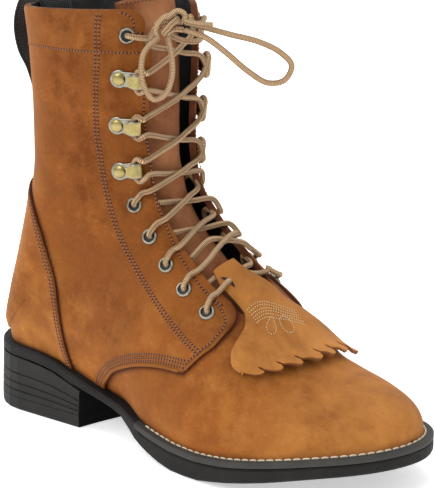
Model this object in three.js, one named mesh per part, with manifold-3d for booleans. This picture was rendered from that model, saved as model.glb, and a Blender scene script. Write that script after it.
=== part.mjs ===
// A men's lace-up western work boot, right foot, built from its separate parts. Millimetres, +Z up,
// +X towards the toe, +Y towards the inner (medial) side. The origin is on the floor under the heel's centre.
import * as THREE from "three";
import { mergeVertices } from "three/addons/utils/BufferGeometryUtils.js";
import Module from "manifold-3d";

const wasm = await Module();
wasm.setup();
const { Manifold, Mesh: SolidMesh } = wasm;

// Driving dimensions
const soleLength = 300;
const ballWidth = 112;
const bootHeight = 250;
const heelLength = 86;
const heelRoundness = 33.6;
const toeRoundness = 71;
const heelCapThickness = 7.7;
const heelFlare = 1;
const heelGrooveDepth = 0.7;
const seatThickness = 7;
const breastSlant = 14;
const breastHollow = 2;
const weltThickness = 3.6;
const weltStart = 0.47;
const weltLedge = 4.4;
const weltBevel = 1.4;
const heelLedge = 8;
const insoleRise = 4;
const insoleClearance = 2.8;
const gap = 0.3;

const leather = 2.2;
const quarterLeather = 1.8;
const counterLeather = 1.6;
const stayWidth = 16;
const toeCapDepth = 42;
const collarCorner = 10;
const throatRow = 4.35;
const throatRounding = 0.55;

const tongueThickness = 2.5;
const tongueRecess = 13;
const tongueHalfWidth = 27;
const tongueClearance = 1.8;
const tongueRise = 7;

const kiltieThickness = 2;
const kiltieFloat = 1.4;
const kiltieLift = 3.4;
const fringeCount = 8;
const fringeSlit = 0.9;
const fringeLength = 13;
const pinking = 2.2;

const webbingWidth = 25;
const webbingThickness = 1.6;

const eyeletOuter = 4.7;
const eyeletBarrel = 3;
const eyeletBore = 2.3;
const eyeletRim = 1.1;
const eyeletInset = 13;
const hookInset = 17;
const hookWidth = 8.5;
const hookRivet = 3.9;
const hookReach = 14.6;
const laceDiameter = 3.2;
const laceFloat = 1.2;
const laceOverEdge = 2.5;
const knotWidth = 20;
const knotHeight = 12;
const knotDepth = 8;
const medialRise = 4.5;

// Plan of the sole: along = share of the length from the heel's back, middle and half = shares of the ball width
const planRows = [
  { at: 0.0, middle: 0.0, half: 0.3 },
  { at: 0.12, middle: 0.0, half: 0.3 },
  { at: 0.29, middle: -0.008, half: 0.288 },
  { at: 0.38, middle: -0.03, half: 0.268 },
  { at: 0.48, middle: -0.06, half: 0.342 },
  { at: 0.57, middle: -0.048, half: 0.412 },
  { at: 0.66, middle: -0.026, half: 0.462 },
  { at: 0.74, middle: -0.005, half: 0.49 },
  { at: 0.82, middle: 0.032, half: 0.498 },
  { at: 0.9, middle: 0.069, half: 0.5 },
  { at: 1.0, middle: 0.114, half: 0.5 },
];

// Side view of the sole: top of the welt, and underside, as shares of the boot's height
const soleRows = [
  { at: 0.0, top: 0.166, under: 0.13 },
  { at: 0.13, top: 0.161, under: 0.125 },
  { at: 0.2, top: 0.152, under: 0.116 },
  { at: 0.285, top: 0.12, under: 0.096 },
  { at: 0.35, top: 0.098, under: 0.078 },
  { at: 0.42, top: 0.083, under: 0.056 },
  { at: 0.5, top: 0.069, under: 0.02 },
  { at: 0.56, top: 0.062, under: 0.004 },
  { at: 0.59, top: 0.059, under: 0.0 },
  { at: 0.64, top: 0.058, under: 0.0 },
  { at: 0.71, top: 0.065, under: 0.013 },
  { at: 0.78, top: 0.078, under: 0.03 },
  { at: 0.9, top: 0.1, under: 0.058 },
  { at: 1.0, top: 0.111, under: 0.071 },
];

// Ribs of the last, from the toe round to the collar. A rib leaves the sole, or the back seam, at (lowX, lowZ)
// and ends on the front line at (frontX, frontZ); X is a share of the sole's length and Z of the boot's height.
// lean and half are shares of the ball width: the front line's offset and the widest half. belly is how far up
// the rib it is widest, full its roundness, back the depth of the rounding at the back, and gapOuter and gapInner the throat's reach to each side.
const ribRows = [
  { at: 0, lowX: 0.985, lowZ: 0, frontX: 0.985, frontZ: 0.202, lean: 0.105, half: 0.415, belly: 0.25, full: 2.1, back: 0.25, gapOuter: 0.2, gapInner: 0.12 },
  { at: 1, lowX: 0.91, lowZ: 0, frontX: 0.908, frontZ: 0.206, lean: 0.09, half: 0.43, belly: 0.25, full: 2.1, back: 0.25, gapOuter: 0.2, gapInner: 0.12 },
  { at: 2, lowX: 0.828, lowZ: 0, frontX: 0.823, frontZ: 0.226, lean: 0.075, half: 0.446, belly: 0.26, full: 2.1, back: 0.25, gapOuter: 0.2, gapInner: 0.12 },
  { at: 3, lowX: 0.748, lowZ: 0, frontX: 0.758, frontZ: 0.257, lean: 0.062, half: 0.455, belly: 0.28, full: 2.1, back: 0.25, gapOuter: 0.2, gapInner: 0.12 },
  { at: 4, lowX: 0.672, lowZ: 0, frontX: 0.702, frontZ: 0.322, lean: 0.055, half: 0.448, belly: 0.3, full: 2.1, back: 0.25, gapOuter: 0.2, gapInner: 0.12 },
  { at: 5, lowX: 0.59, lowZ: 0, frontX: 0.652, frontZ: 0.385, lean: 0.049, half: 0.42, belly: 0.32, full: 2.1, back: 0.25, gapOuter: 0.2, gapInner: 0.125 },
  { at: 6, lowX: 0.497, lowZ: 0, frontX: 0.604, frontZ: 0.43, lean: 0.04, half: 0.378, belly: 0.36, full: 2.2, back: 0.25, gapOuter: 0.2, gapInner: 0.135 },
  { at: 7, lowX: 0.397, lowZ: 0, frontX: 0.562, frontZ: 0.478, lean: 0.03, half: 0.346, belly: 0.4, full: 2.3, back: 0.25, gapOuter: 0.19, gapInner: 0.145 },
  { at: 8, lowX: 0.291, lowZ: 0, frontX: 0.526, frontZ: 0.525, lean: 0.022, half: 0.322, belly: 0.4, full: 2.5, back: 0.25, gapOuter: 0.18, gapInner: 0.155 },
  { at: 9, lowX: 0.172, lowZ: 0, frontX: 0.501, frontZ: 0.57, lean: 0.016, half: 0.313, belly: 0.4, full: 2.6, back: 0.25, gapOuter: 0.173, gapInner: 0.165 },
  { at: 10, lowX: 0.073, lowZ: 0, frontX: 0.487, frontZ: 0.608, lean: 0.01, half: 0.308, belly: 0.38, full: 2.7, back: 0.25, gapOuter: 0.17, gapInner: 0.17 },
  { at: 11, lowX: 0.0292, lowZ: 0.167, frontX: 0.4785, frontZ: 0.638, lean: 0.006, half: 0.306, belly: 0.38, full: 2.7, back: 0.25, gapOuter: 0.17, gapInner: 0.17 },
  { at: 12, lowX: 0.037, lowZ: 0.24, frontX: 0.4735, frontZ: 0.672, lean: 0.003, half: 0.306, belly: 0.38, full: 2.7, back: 0.26, gapOuter: 0.17, gapInner: 0.17 },
  { at: 13, lowX: 0.05, lowZ: 0.304, frontX: 0.4695, frontZ: 0.708, lean: 0, half: 0.306, belly: 0.38, full: 2.6, back: 0.28, gapOuter: 0.17, gapInner: 0.17 },
  { at: 14, lowX: 0.069, lowZ: 0.38, frontX: 0.467, frontZ: 0.748, lean: 0, half: 0.309, belly: 0.4, full: 2.5, back: 0.3, gapOuter: 0.17, gapInner: 0.17 },
  { at: 15, lowX: 0.088, lowZ: 0.46, frontX: 0.465, frontZ: 0.792, lean: 0, half: 0.315, belly: 0.42, full: 2.4, back: 0.32, gapOuter: 0.17, gapInner: 0.17 },
  { at: 16, lowX: 0.107, lowZ: 0.548, frontX: 0.465, frontZ: 0.84, lean: 0, half: 0.326, belly: 0.44, full: 2.3, back: 0.34, gapOuter: 0.169, gapInner: 0.169 },
  { at: 17, lowX: 0.121, lowZ: 0.652, frontX: 0.465, frontZ: 0.888, lean: 0, half: 0.339, belly: 0.46, full: 2.2, back: 0.36, gapOuter: 0.168, gapInner: 0.168 },
  { at: 18, lowX: 0.1225, lowZ: 0.768, frontX: 0.4635, frontZ: 0.932, lean: 0, half: 0.351, belly: 0.48, full: 2.1, back: 0.37, gapOuter: 0.167, gapInner: 0.167 },
  { at: 19, lowX: 0.1175, lowZ: 0.888, frontX: 0.46, frontZ: 0.973, lean: 0, half: 0.359, belly: 0.5, full: 2.1, back: 0.38, gapOuter: 0.166, gapInner: 0.166 },
  { at: 20, lowX: 0.106, lowZ: 0.997, frontX: 0.4535, frontZ: 1.011, lean: 0, half: 0.364, belly: 0.5, full: 2.1, back: 0.38, gapOuter: 0.165, gapInner: 0.165 },
];
const heelRow = 11;
const collarRow = 20;

// A smooth curve through a table's column that never overshoots its rows
function smoothColumn(rows, column) {
  const xs = rows.map((row) => row.at);
  const ys = rows.map((row) => row[column]);
  const slopes = xs.slice(1).map((x, i) => (ys[i + 1] - ys[i]) / (x - xs[i]));
  const tangents = xs.map((x, i) => {
    if (i === 0) return slopes[0];
    if (i === xs.length - 1) return slopes[i - 1];
    if (slopes[i - 1] * slopes[i] <= 0) return 0;
    return (2 * slopes[i - 1] * slopes[i]) / (slopes[i - 1] + slopes[i]);
  });
  return (x) => {
    let i = 0;
    while (i < xs.length - 2 && x > xs[i + 1]) i++;
    const span = xs[i + 1] - xs[i];
    const t = Math.min(1, Math.max(0, (x - xs[i]) / span));
    const t2 = t * t;
    const t3 = t2 * t;
    return (
      (2 * t3 - 3 * t2 + 1) * ys[i] +
      (t3 - 2 * t2 + t) * span * tangents[i] +
      (3 * t2 - 2 * t3) * ys[i + 1] +
      (t3 - t2) * span * tangents[i + 1]
    );
  };
}
const columnsOf = (rows) =>
  Object.fromEntries(
    Object.keys(rows[0])
      .filter((key) => key !== "at")
      .map((key) => [key, smoothColumn(rows, key)]),
  );
const plan = columnsOf(planRows);
const solePlan = columnsOf(soleRows);
const rib = columnsOf(ribRows);

// 0 at an end and 1 from there on, as the quarter of a circle (power 2) or fuller
function roundEnd(share, power = 2) {
  const t = Math.min(1, Math.max(0, share));
  return Math.pow(1 - Math.pow(1 - t, power), 1 / power);
}
const mix = (a, b, t) => a + (b - a) * t;
const ease = (t) => {
  const c = Math.min(1, Math.max(0, t));
  return c * c * (3 - 2 * c);
};

// The sole's outline, drawn in by an inset: its middle line and its half width at x
const middleAt = (x) => plan.middle(x / soleLength) * ballWidth;
function halfAt(x, inset) {
  const full = plan.half(x / soleLength) * ballWidth - inset;
  const heelEnd = roundEnd((x - inset) / (heelRoundness - inset));
  const toeEnd = roundEnd((soleLength - inset - x) / (toeRoundness - inset));
  return full * heelEnd * toeEnd;
}
const weltTop = (x) => solePlan.top(x / soleLength) * bootHeight;
const ledgeAt = (x) => mix(heelLedge, weltLedge, ease((x / soleLength - 0.3) / 0.3));

// The last: a point on its outside at rib `row`, share `up` of the way from its low end to the front line.
// side is -1 for the outer (lateral) half and 1 for the inner (medial) half.
function lastPoint(side, row, up) {
  const onSole = row <= heelRow;
  const lowX = rib.lowX(row) * soleLength;
  const soleZ = weltTop(lowX) + gap;
  const lowZ = onSole ? soleZ : rib.lowZ(row) * bootHeight;
  const frontX = rib.frontX(row) * soleLength;
  const toeTip = ribRows[0].lowX * soleLength;
  const cap = row < 3 ? roundEnd((toeTip - lowX) / toeCapDepth, 2.2) : 1;
  const frontZ = mix(soleZ, rib.frontZ(row) * bootHeight, cap);
  const x = mix(lowX, frontX, up);
  const z = mix(lowZ, frontZ, up);
  const rise = side > 0 ? medialRise * ease((row - 13) / (collarRow - 13)) * ease(up) : 0;
  const middle = mix(onSole ? middleAt(lowX) : rib.lean(row) * ballWidth, rib.lean(row) * ballWidth, ease(up));
  return new THREE.Vector3(x, middle + side * lastHalf(row, up, x, z), z + rise);
}
const backLine = smoothColumn(
  ribRows.slice(heelRow).map((row) => ({ at: row.lowZ, x: row.lowX })),
  "x",
);
function lastHalf(row, up, x, z) {
  if (row >= heelRow && up <= 0) return 0;
  const toeTip = ribRows[0].lowX * soleLength;
  const belly = rib.belly(row);
  const widest = rib.half(row) * ballWidth;
  const foot = row <= heelRow ? plan.half(x / soleLength) * ballWidth - ledgeAt(x) : widest;
  const toward = Math.min(1, up / belly);
  const body = mix(foot, widest, 1 - (1 - toward) * (1 - toward));
  const over = Math.max(0, (up - belly) / (1 - belly));
  const arch = Math.pow(Math.max(0, 1 - Math.pow(over, rib.full(row))), 1 / 2.1);
  const slip = row > heelRow ? rib.lowX(row) - backLine(rib.lowZ(row)) : 0;
  const back = (backLine(z / bootHeight) + slip * (1 - ease(up))) * soleLength;
  const heelEnd = roundEnd((x - back) / (rib.back(row) * ballWidth));
  const toeEnd = roundEnd((toeTip - rib.lowX(row) * soleLength) / (toeRoundness - weltLedge));
  return body * arch * heelEnd * toeEnd;
}

// How far up rib `row` the throat's edge lies: 1 below the throat, where the two halves meet
function throatUp(row, side) {
  const opening = (row - throatRow) / throatRounding;
  if (opening <= 0) return 1;
  const want = (side < 0 ? rib.gapOuter(row) : rib.gapInner(row)) * ballWidth * roundEnd(opening);
  let low = rib.belly(row);
  let high = 1;
  for (let i = 0; i < 30; i++) {
    const half = (low + high) / 2;
    const x = mix(rib.lowX(row), rib.frontX(row), half) * soleLength;
    const z = rib.lowZ(row) * bootHeight;
    if (lastHalf(row, half, x, z + heelRoundness) > want) low = half;
    else high = half;
  }
  return high;
}

// A welded sheet of triangles from grids of points, with its vertex normals
function weld(grids) {
  const positions = [];
  for (const { points, flip } of grids) {
    for (let i = 0; i + 1 < points.length; i++) {
      for (let j = 0; j + 1 < points[i].length; j++) {
        const corners = [points[i][j], points[i + 1][j], points[i + 1][j + 1], points[i][j + 1]];
        const order = flip ? [0, 2, 1, 0, 3, 2] : [0, 1, 2, 0, 2, 3];
        for (const k of order) positions.push(corners[k].x, corners[k].y, corners[k].z);
      }
    }
  }
  const loose = new THREE.BufferGeometry();
  loose.setAttribute("position", new THREE.Float32BufferAttribute(positions, 3));
  const merged = mergeVertices(loose, 2e-3);
  const kept = [];
  const index = merged.index.array;
  for (let i = 0; i < index.length; i += 3) {
    const [a, b, c] = [index[i], index[i + 1], index[i + 2]];
    if (a !== b && b !== c && a !== c) kept.push(a, b, c);
  }
  merged.setIndex(kept);
  merged.computeVertexNormals();
  return merged;
}

// A closed solid between a sheet's two offsets along its normals; each offset is a number or a function of a point
function thicken(sheet, outBy, inBy) {
  const position = sheet.attributes.position;
  const normal = sheet.attributes.normal;
  const count = position.count;
  const vertices = new Float32Array(count * 6);
  const amount = (by, point) => (typeof by === "function" ? by(point) : by);
  for (let i = 0; i < count; i++) {
    const p = new THREE.Vector3().fromBufferAttribute(position, i);
    const n = new THREE.Vector3().fromBufferAttribute(normal, i);
    p.clone().addScaledVector(n, amount(outBy, p)).toArray(vertices, i * 3);
    p.clone().addScaledVector(n, amount(inBy, p)).toArray(vertices, (count + i) * 3);
  }
  const index = sheet.index.array;
  const triangles = [];
  const edges = new Map();
  for (let i = 0; i < index.length; i += 3) {
    const t = [index[i], index[i + 1], index[i + 2]];
    triangles.push(...t, t[0] + count, t[2] + count, t[1] + count);
    for (let k = 0; k < 3; k++) edges.set(t[k] + "," + t[(k + 1) % 3], [t[k], t[(k + 1) % 3]]);
  }
  for (const [a, b] of edges.values()) {
    if (edges.has(b + "," + a)) continue;
    triangles.push(b, a, a + count, b, a + count, b + count);
  }
  return solidFrom(vertices, triangles);
}
function solidFrom(vertices, triangles) {
  return new Manifold(
    new SolidMesh({
      numProp: 3,
      vertProperties: Float32Array.from(vertices),
      triVerts: Uint32Array.from(triangles),
    }),
  );
}
function solidOf(geometry) {
  const bare = geometry.index ? geometry.toNonIndexed() : geometry.clone();
  for (const name of Object.keys(bare.attributes)) if (name !== "position") bare.deleteAttribute(name);
  const merged = mergeVertices(bare, 1e-3);
  return solidFrom(merged.attributes.position.array, merged.index.array);
}
function geometryOf(solid) {
  const mesh = solid.getMesh();
  const geometry = new THREE.BufferGeometry();
  geometry.setAttribute("position", new THREE.BufferAttribute(mesh.vertProperties, 3));
  geometry.setIndex(new THREE.BufferAttribute(mesh.triVerts, 1));
  return geometry;
}

// A prism through both sides of the boot, from an outline drawn in the side view as [x, z] points
const prismReach = 120;
function sidePrism(outline, reach = prismReach) {
  const shape = new THREE.Shape(outline.map(([x, z]) => new THREE.Vector2(x, z)));
  const prism = new THREE.ExtrudeGeometry(shape, { depth: 2 * reach, bevelEnabled: false });
  prism.rotateX(Math.PI / 2);
  prism.translate(0, reach, 0);
  return solidOf(prism);
}
// A side-view outline whose points are shares of the sole's length and the boot's height, run through a smooth curve
function sideOutline(shares, divisions = 3) {
  const points = shares.map(([x, z]) => new THREE.Vector3(x * soleLength, z * bootHeight, 0));
  const curve = new THREE.CatmullRomCurve3(points, false, "centripetal");
  return curve.getPoints((points.length - 1) * divisions).map((p) => [p.x, p.y]);
}

// The upper's sheet, from the toe to the collar, open at the sole, the throat and the collar
const ribSteps = [0, 0.08, 0.25, 0.55, 1, 1.7, 2.4, 3.1, 3.8, throatRow];
for (const share of [0.2, 0.55, 1]) ribSteps.push(throatRow + share * throatRounding);
for (let row = throatRow + throatRounding + 0.9; row < 9.6; row += 0.9) ribSteps.push(row);
ribSteps.push(10, 10.55, heelRow, 11.7, 12.7, 13.8, 15, 16.2, 17.4, 18.7, collarRow);
const stepsUp = 9;
function halfGrid(side, rows = ribSteps, reach = throatUp) {
  return rows.map((row) => {
    const top = reach(row, side);
    return Array.from({ length: stepsUp + 1 }, (_, j) =>
      lastPoint(side, row, (top * (1 - Math.cos((Math.PI * j) / stepsUp))) / 2),
    );
  });
}
const upperSheet = weld([{ points: halfGrid(-1), flip: true }, { points: halfGrid(1), flip: false }]);

// Panel edges in the side view
const quarterEdge = [
  [0.342, 0.06], [0.338, 0.105], [0.371, 0.147], [0.395, 0.169], [0.435, 0.192], [0.471, 0.208], [0.512, 0.22], [0.553, 0.226], [0.602, 0.227],
];
const quarterFront = [
  [0.602, 0.227], [0.619, 0.252], [0.635, 0.275], [0.648, 0.29], [0.656, 0.309], [0.66, 0.326], [0.658, 0.343], [0.648, 0.359], [0.633, 0.374], [0.619, 0.384],
];
const counterEdge = [
  [0.11, 0.585], [0.15, 0.562], [0.184, 0.513], [0.2, 0.473], [0.22, 0.408], [0.236, 0.358], [0.243, 0.31], [0.246, 0.261], [0.249, 0.198], [0.253, 0.148], [0.258, 0.09],
];
const behind = -0.1;
const above = 1.2;
const below = 0.02;

// Everything below the seat of the upper, used to trim what stands on the sole
function soleBlank() {
  const wide = 2 * ballWidth;
  const stations = [-30, ...outsoleStations(), soleLength + 30];
  return sectionSolid(
    stations.map((x) => {
      const top = weltTop(x) + gap;
      return [[wide, top], [wide, -bootHeight], [-wide, -bootHeight], [-wide, top]].map(([y, z]) => new THREE.Vector3(x, y, z));
    }),
  );
}

// The quarters' outline in the side view, grown forwards and downwards by a clearance
function quarterOutline(clear) {
  const low = sideOutline(quarterEdge).map(([x, z]) => [x, z - clear]);
  const front = sideOutline(quarterFront).slice(1).map(([x, z]) => [x + clear, z]);
  return [
    ...low,
    ...front,
    [front[front.length - 1][0], above * bootHeight],
    [behind * soleLength, above * bootHeight],
    [behind * soleLength, below * bootHeight],
  ];
}

function makeUpper() {
  const base = thicken(upperSheet, 0, -leather);
  const layer = thicken(upperSheet, quarterLeather, -leather / 3);
  let upper = base.add(layer.intersect(sidePrism(quarterOutline(0))));
  const front = lastPoint(-1, collarRow, throatUp(collarRow, -1));
  const corner = new THREE.Shape();
  corner.moveTo(front.x - collarCorner, front.z + 1);
  corner.absarc(front.x - collarCorner, front.z + 0.5 - collarCorner, collarCorner, Math.PI / 2, 0, true);
  corner.lineTo(front.x + collarCorner, front.z - collarCorner);
  corner.lineTo(front.x + collarCorner, front.z + collarCorner);
  corner.lineTo(front.x - collarCorner, front.z + collarCorner);
  upper = upper.subtract(sidePrism(corner.getPoints(5).map((p) => [p.x, p.y])));
  for (const { kind, frame } of stations) {
    const cutters = [];
    if (kind === "eyelet") {
      cutters.push(new THREE.CylinderGeometry(eyeletBarrel + gap, eyeletBarrel + gap, 14, 9).rotateX(Math.PI / 2));
      cutters.push(new THREE.CylinderGeometry(eyeletOuter + gap, eyeletOuter + gap, 5, 9).rotateX(Math.PI / 2).translate(0, 0, 2.5));
    } else {
      const plate = hookRivet + 1.3 + gap;
      cutters.push(new THREE.BoxGeometry(plate + hookReach + gap, 2 * plate, 8).translate((hookReach + gap - plate) / 2, 0, 4));
    }
    for (const cutter of cutters) upper = upper.subtract(solidOf(cutter.applyMatrix4(frame)));
  }
  upper = upper.subtract(soleBlank());
  return upper;
}

// Lacing stations: distance down the throat's edge from the collar
const stationRows = [
  { kind: "eyelet", down: 0.058 * bootHeight },
  { kind: "hook", down: 0.16 * bootHeight },
  { kind: "hook", down: 0.264 * bootHeight },
  { kind: "hook", down: 0.362 * bootHeight },
  { kind: "eyelet", down: 0.426 * bootHeight },
  { kind: "eyelet", down: 0.504 * bootHeight },
  { kind: "eyelet", down: 0.576 * bootHeight },
  { kind: "eyelet", down: 0.648 * bootHeight },
  { kind: "eyelet", down: 0.72 * bootHeight },
];
function rowAtEdge(side, down) {
  let walked = 0;
  let last = lastPoint(side, collarRow, throatUp(collarRow, side));
  for (let row = collarRow; row > throatRow; row -= 0.02) {
    const next = lastPoint(side, row, throatUp(row, side));
    walked += next.distanceTo(last);
    if (walked >= down) return row;
    last = next;
  }
  return throatRow;
}
// A frame on the leather, `inset` square back from the throat's edge: x towards the throat, y up the edge, z out
function stationFrame(side, down, inset, outBy) {
  const edgeRow = rowAtEdge(side, down);
  const edge = lastPoint(side, edgeRow, throatUp(edgeRow, side));
  const above = lastPoint(side, edgeRow + 0.1, throatUp(edgeRow + 0.1, side));
  const below = lastPoint(side, edgeRow - 0.1, throatUp(edgeRow - 0.1, side));
  const alongEdge = above.sub(below).normalize();
  const edgeUp = throatUp(edgeRow, side);
  const inward = lastPoint(side, edgeRow, edgeUp - 0.02).sub(edge);
  inward.addScaledVector(alongEdge, -inward.dot(alongEdge)).normalize();
  let row = edgeRow;
  let up = edgeUp - 0.1;
  for (let i = 0; i < 24; i++) {
    const point = lastPoint(side, row, up);
    const away = point.clone().sub(edge);
    const slip = away.dot(alongEdge);
    const reach = Math.sign(away.dot(inward)) * Math.sqrt(Math.max(0, away.lengthSq() - slip * slip));
    const perRow = lastPoint(side, row + 0.05, up).sub(point).dot(alongEdge) / 0.05;
    const perUp = point.distanceTo(lastPoint(side, row, up - 0.01)) / 0.01;
    row -= (0.6 * slip) / perRow;
    up -= (0.6 * (inset - reach)) / perUp;
  }
  const point = lastPoint(side, row, up);
  const onRib = lastPoint(side, row, up + 0.01).sub(lastPoint(side, row, up - 0.01));
  const upRows = lastPoint(side, row + 0.05, up).sub(lastPoint(side, row - 0.05, up));
  const normal = new THREE.Vector3().crossVectors(onRib, upRows).multiplyScalar(-side).normalize();
  const toThroat = new THREE.Vector3().crossVectors(alongEdge, normal).multiplyScalar(-side).normalize();
  const along = new THREE.Vector3().crossVectors(normal, toThroat).normalize();
  return new THREE.Matrix4().makeBasis(toThroat, along, normal).setPosition(point.addScaledVector(normal, outBy));
}
const stations = [];
for (const side of [-1, 1]) {
  stationRows.forEach(({ kind, down }, number) => {
    const inset = kind === "hook" ? hookInset : eyeletInset;
    stations.push({ kind, side, number: number + 1, frame: stationFrame(side, down, inset, quarterLeather) });
  });
}

function makeCounter() {
  const inner = quarterLeather + gap;
  const layer = thicken(upperSheet, inner + counterLeather, inner);
  const outline = [
    ...sideOutline(counterEdge),
    [counterEdge[counterEdge.length - 1][0] * soleLength, below * bootHeight],
    [behind * soleLength, below * bootHeight],
    [behind * soleLength, counterEdge[0][1] * bootHeight],
  ];
  return layer.intersect(sidePrism(outline)).subtract(soleBlank());
}

function makeBackStay() {
  const inner = quarterLeather + gap;
  const layer = thicken(upperSheet, inner + counterLeather * 0.8, inner);
  const low = counterEdge[0][1] * bootHeight + 1;
  const strip = new THREE.BoxGeometry(0.25 * soleLength, stayWidth, bootHeight - 4 - low);
  strip.translate(0.08 * soleLength, 0, (bootHeight - 4 + low) / 2);
  return layer.intersect(solidOf(strip));
}

// A point on the last's front, `across` millimetres from its ridge, sunk by `depth`
function frontPoint(row, across, depth) {
  const ridge = lastPoint(1, row, 1);
  const side = across < 0 ? -1 : 1;
  const want = Math.abs(across);
  let point = ridge.clone();
  let walked = 0;
  for (let t = 0.01; walked < want && t < 0.98; t += 0.01) {
    const next = lastPoint(side, row, 1 - t * t);
    const step = next.distanceTo(point);
    point.lerp(next, Math.min(1, (want - walked) / step));
    walked += step;
  }
  const low = lastPoint(side, row, 0);
  const inward = new THREE.Vector3(low.x - ridge.x, 0, low.z - ridge.z).normalize();
  return point.addScaledVector(inward, depth);
}

function makeTongue() {
  const rows = [3.9, 4.3, 4.8, 5.4, 6, 6.8, 7.6, 8.6, 10, 11.5, 13, 14.5, 16, 17.5, 19, 20];
  const columns = [-1, -0.66, -0.33, 0, 0.33, 0.66, 1];
  const points = rows.map((row) => {
    const deep = mix(leather + tongueClearance, tongueRecess, ease((row - rows[0]) / 2));
    const wide = mix(20, tongueHalfWidth, ease((row - rows[0]) / 4));
    return columns.map((share) => frontPoint(row, share * wide, deep + 1.5 * share * share));
  });
  const top = points[points.length - 1];
  const lift = new THREE.Vector3(-0.12, 0, 1).multiplyScalar(tongueRise);
  points.push(top.map((p, j) => p.clone().addScaledVector(lift, 1 - 0.5 * columns[j] ** 2)));
  const sheet = weld([{ points, flip: true }]);
  return thicken(sheet, 0, -tongueThickness);
}

// The kiltie: rows of the last it covers, and how far it reaches to each side of the ridge, in shares of the ball width
const kiltieRows = [
  { at: 0, row: 6.35, outer: 0.165, inner: -0.035 },
  { at: 0.14, row: 5.8, outer: 0.185, inner: -0.01 },
  { at: 0.28, row: 5.25, outer: 0.188, inner: 0.045 },
  { at: 0.4, row: 4.78, outer: 0.188, inner: 0.095 },
  { at: 0.52, row: 4.35, outer: 0.26, inner: 0.15 },
  { at: 0.62, row: 4, outer: 0.38, inner: 0.21 },
  { at: 0.8, row: 3.35, outer: 0.42, inner: 0.32 },
  { at: 1, row: 2.55, outer: 0.4, inner: 0.4 },
];
const kiltie = columnsOf(kiltieRows);
const fringeShare = 0.3;
const rowLength = 22;
const clearShare = 0.006;
const kiltieCornerOuter = 0.95;
const kiltieCornerInner = 0.4;
function kiltiePoint(share, across) {
  const t = Math.min(1, share);
  const wide = mix(-kiltie.outer(t), kiltie.inner(t), (across + 1) / 2) * ballWidth;
  const corner = across < 0 ? kiltieCornerOuter : kiltieCornerInner;
  const bow = corner * Math.pow(Math.abs(across), 1.8) * Math.max(0, 2 * t - 1);
  const pinked = (share - t) * fringeLength;
  return frontPoint(kiltie.row(t) + bow - pinked / rowLength, wide, 0);
}
function makeKiltie() {
  const slitHalf = fringeSlit / (0.8 * ballWidth);
  const tabs = Array.from({ length: fringeCount }, (_, k) => {
    const from = k === 0 ? -1 : (2 * k) / fringeCount - 1 + slitHalf;
    const to = k === fringeCount - 1 ? 1 : (2 * (k + 1)) / fringeCount - 1 - slitHalf;
    return [from, (from + to) / 2, to];
  });
  const bodyRows = [0, 0.12, 0.26, 0.4, 0.55, 1 - fringeShare];
  const grids = [{ points: bodyRows.map((share) => tabs.flat().map((u) => kiltiePoint(share, u))), flip: false }];
  for (const tab of tabs) {
    const points = [1 - fringeShare, 0.86, 1].map((share) =>
      tab.map((u, i) => kiltiePoint(share === 1 && i === 1 ? 1 + 1.5 / fringeLength : share, u)),
    );
    for (const i of [0, 2]) points[2][i].lerp(points[1][i], pinking / (fringeLength * 0.45));
    grids.push({ points, flip: false });
  }
  const sheet = weld(grids);
  const start = lastPoint(1, throatRow, 1).x;
  const end = kiltiePoint(1, 0).x;
  const rise = (p) => kiltieFloat + kiltieLift * ease((p.x - start) / (end - start));
  const flap = thicken(sheet, (p) => rise(p) + kiltieThickness, rise);
  const wider = (row, side) => Math.min(1, throatUp(row, side) + clearShare);
  const coverSheet = weld([{ points: halfGrid(-1, ribSteps, wider), flip: true }, { points: halfGrid(1, ribSteps, wider), flip: false }]);
  const cover = thicken(coverSheet, quarterLeather + 2 * kiltieLift, 0);
  return flap.subtract(cover.intersect(sidePrism(quarterOutline(gap))));
}

function makePullLoop() {
  const path = [
    [0.105, 0.765], [0.0995, 0.795], [0.084, 0.838], [0.06, 0.88], [0.05, 0.93], [0.055, 0.97],
    [0.078, 1.014], [0.106, 1.02], [0.127, 1.002], [0.134, 0.96], [0.137, 0.905],
  ];
  const points = path.map(([x, z]) => new THREE.Vector3(x * soleLength, 0, z * bootHeight));
  const curve = new THREE.CatmullRomCurve3(points, false, "centripetal");
  const count = 26;
  const outline = [];
  const inner = [];
  for (let i = 0; i <= count; i++) {
    const p = curve.getPointAt(i / count);
    const t = curve.getTangentAt(i / count);
    outline.push([p.x - (t.z * webbingThickness) / 2, p.z + (t.x * webbingThickness) / 2]);
    inner.unshift([p.x + (t.z * webbingThickness) / 2, p.z - (t.x * webbingThickness) / 2]);
  }
  return sidePrism([...outline, ...inner], webbingWidth / 2);
}

// Rings of points, all with the same count, stacked and closed at both ends
function stackRings(rings) {
  const count = rings[0].length;
  const vertices = rings.flat().flatMap((p) => [p.x, p.y, p.z]);
  const triangles = [];
  for (let r = 0; r + 1 < rings.length; r++) {
    for (let i = 0; i < count; i++) {
      const [a, b] = [r * count + i, r * count + ((i + 1) % count)];
      triangles.push(a, b, b + count, a, b + count, a + count);
    }
  }
  const faces = THREE.ShapeUtils.triangulateShape(rings[0].map((p) => new THREE.Vector2(p.x, p.y)), []);
  const top = (rings.length - 1) * count;
  for (const [a, b, c] of faces) triangles.push(a, c, b, top + a, top + b, top + c);
  const solid = solidFrom(vertices, triangles);
  return solid.volume() < 0 ? solidFrom(vertices, triangles.reverse()) : solid;
}
const heelX = heelLength;
const outsoleTop = (x) => weltTop(x) - (weltThickness + gap) * ease((x / soleLength - weltStart) / 0.02);
const seatUnder = (x) => weltTop(x) - seatThickness;
const soleUnder = (x) => mix(seatUnder(x), solePlan.under(x / soleLength) * bootHeight, ease((x - heelX + 8) / 8));

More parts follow.
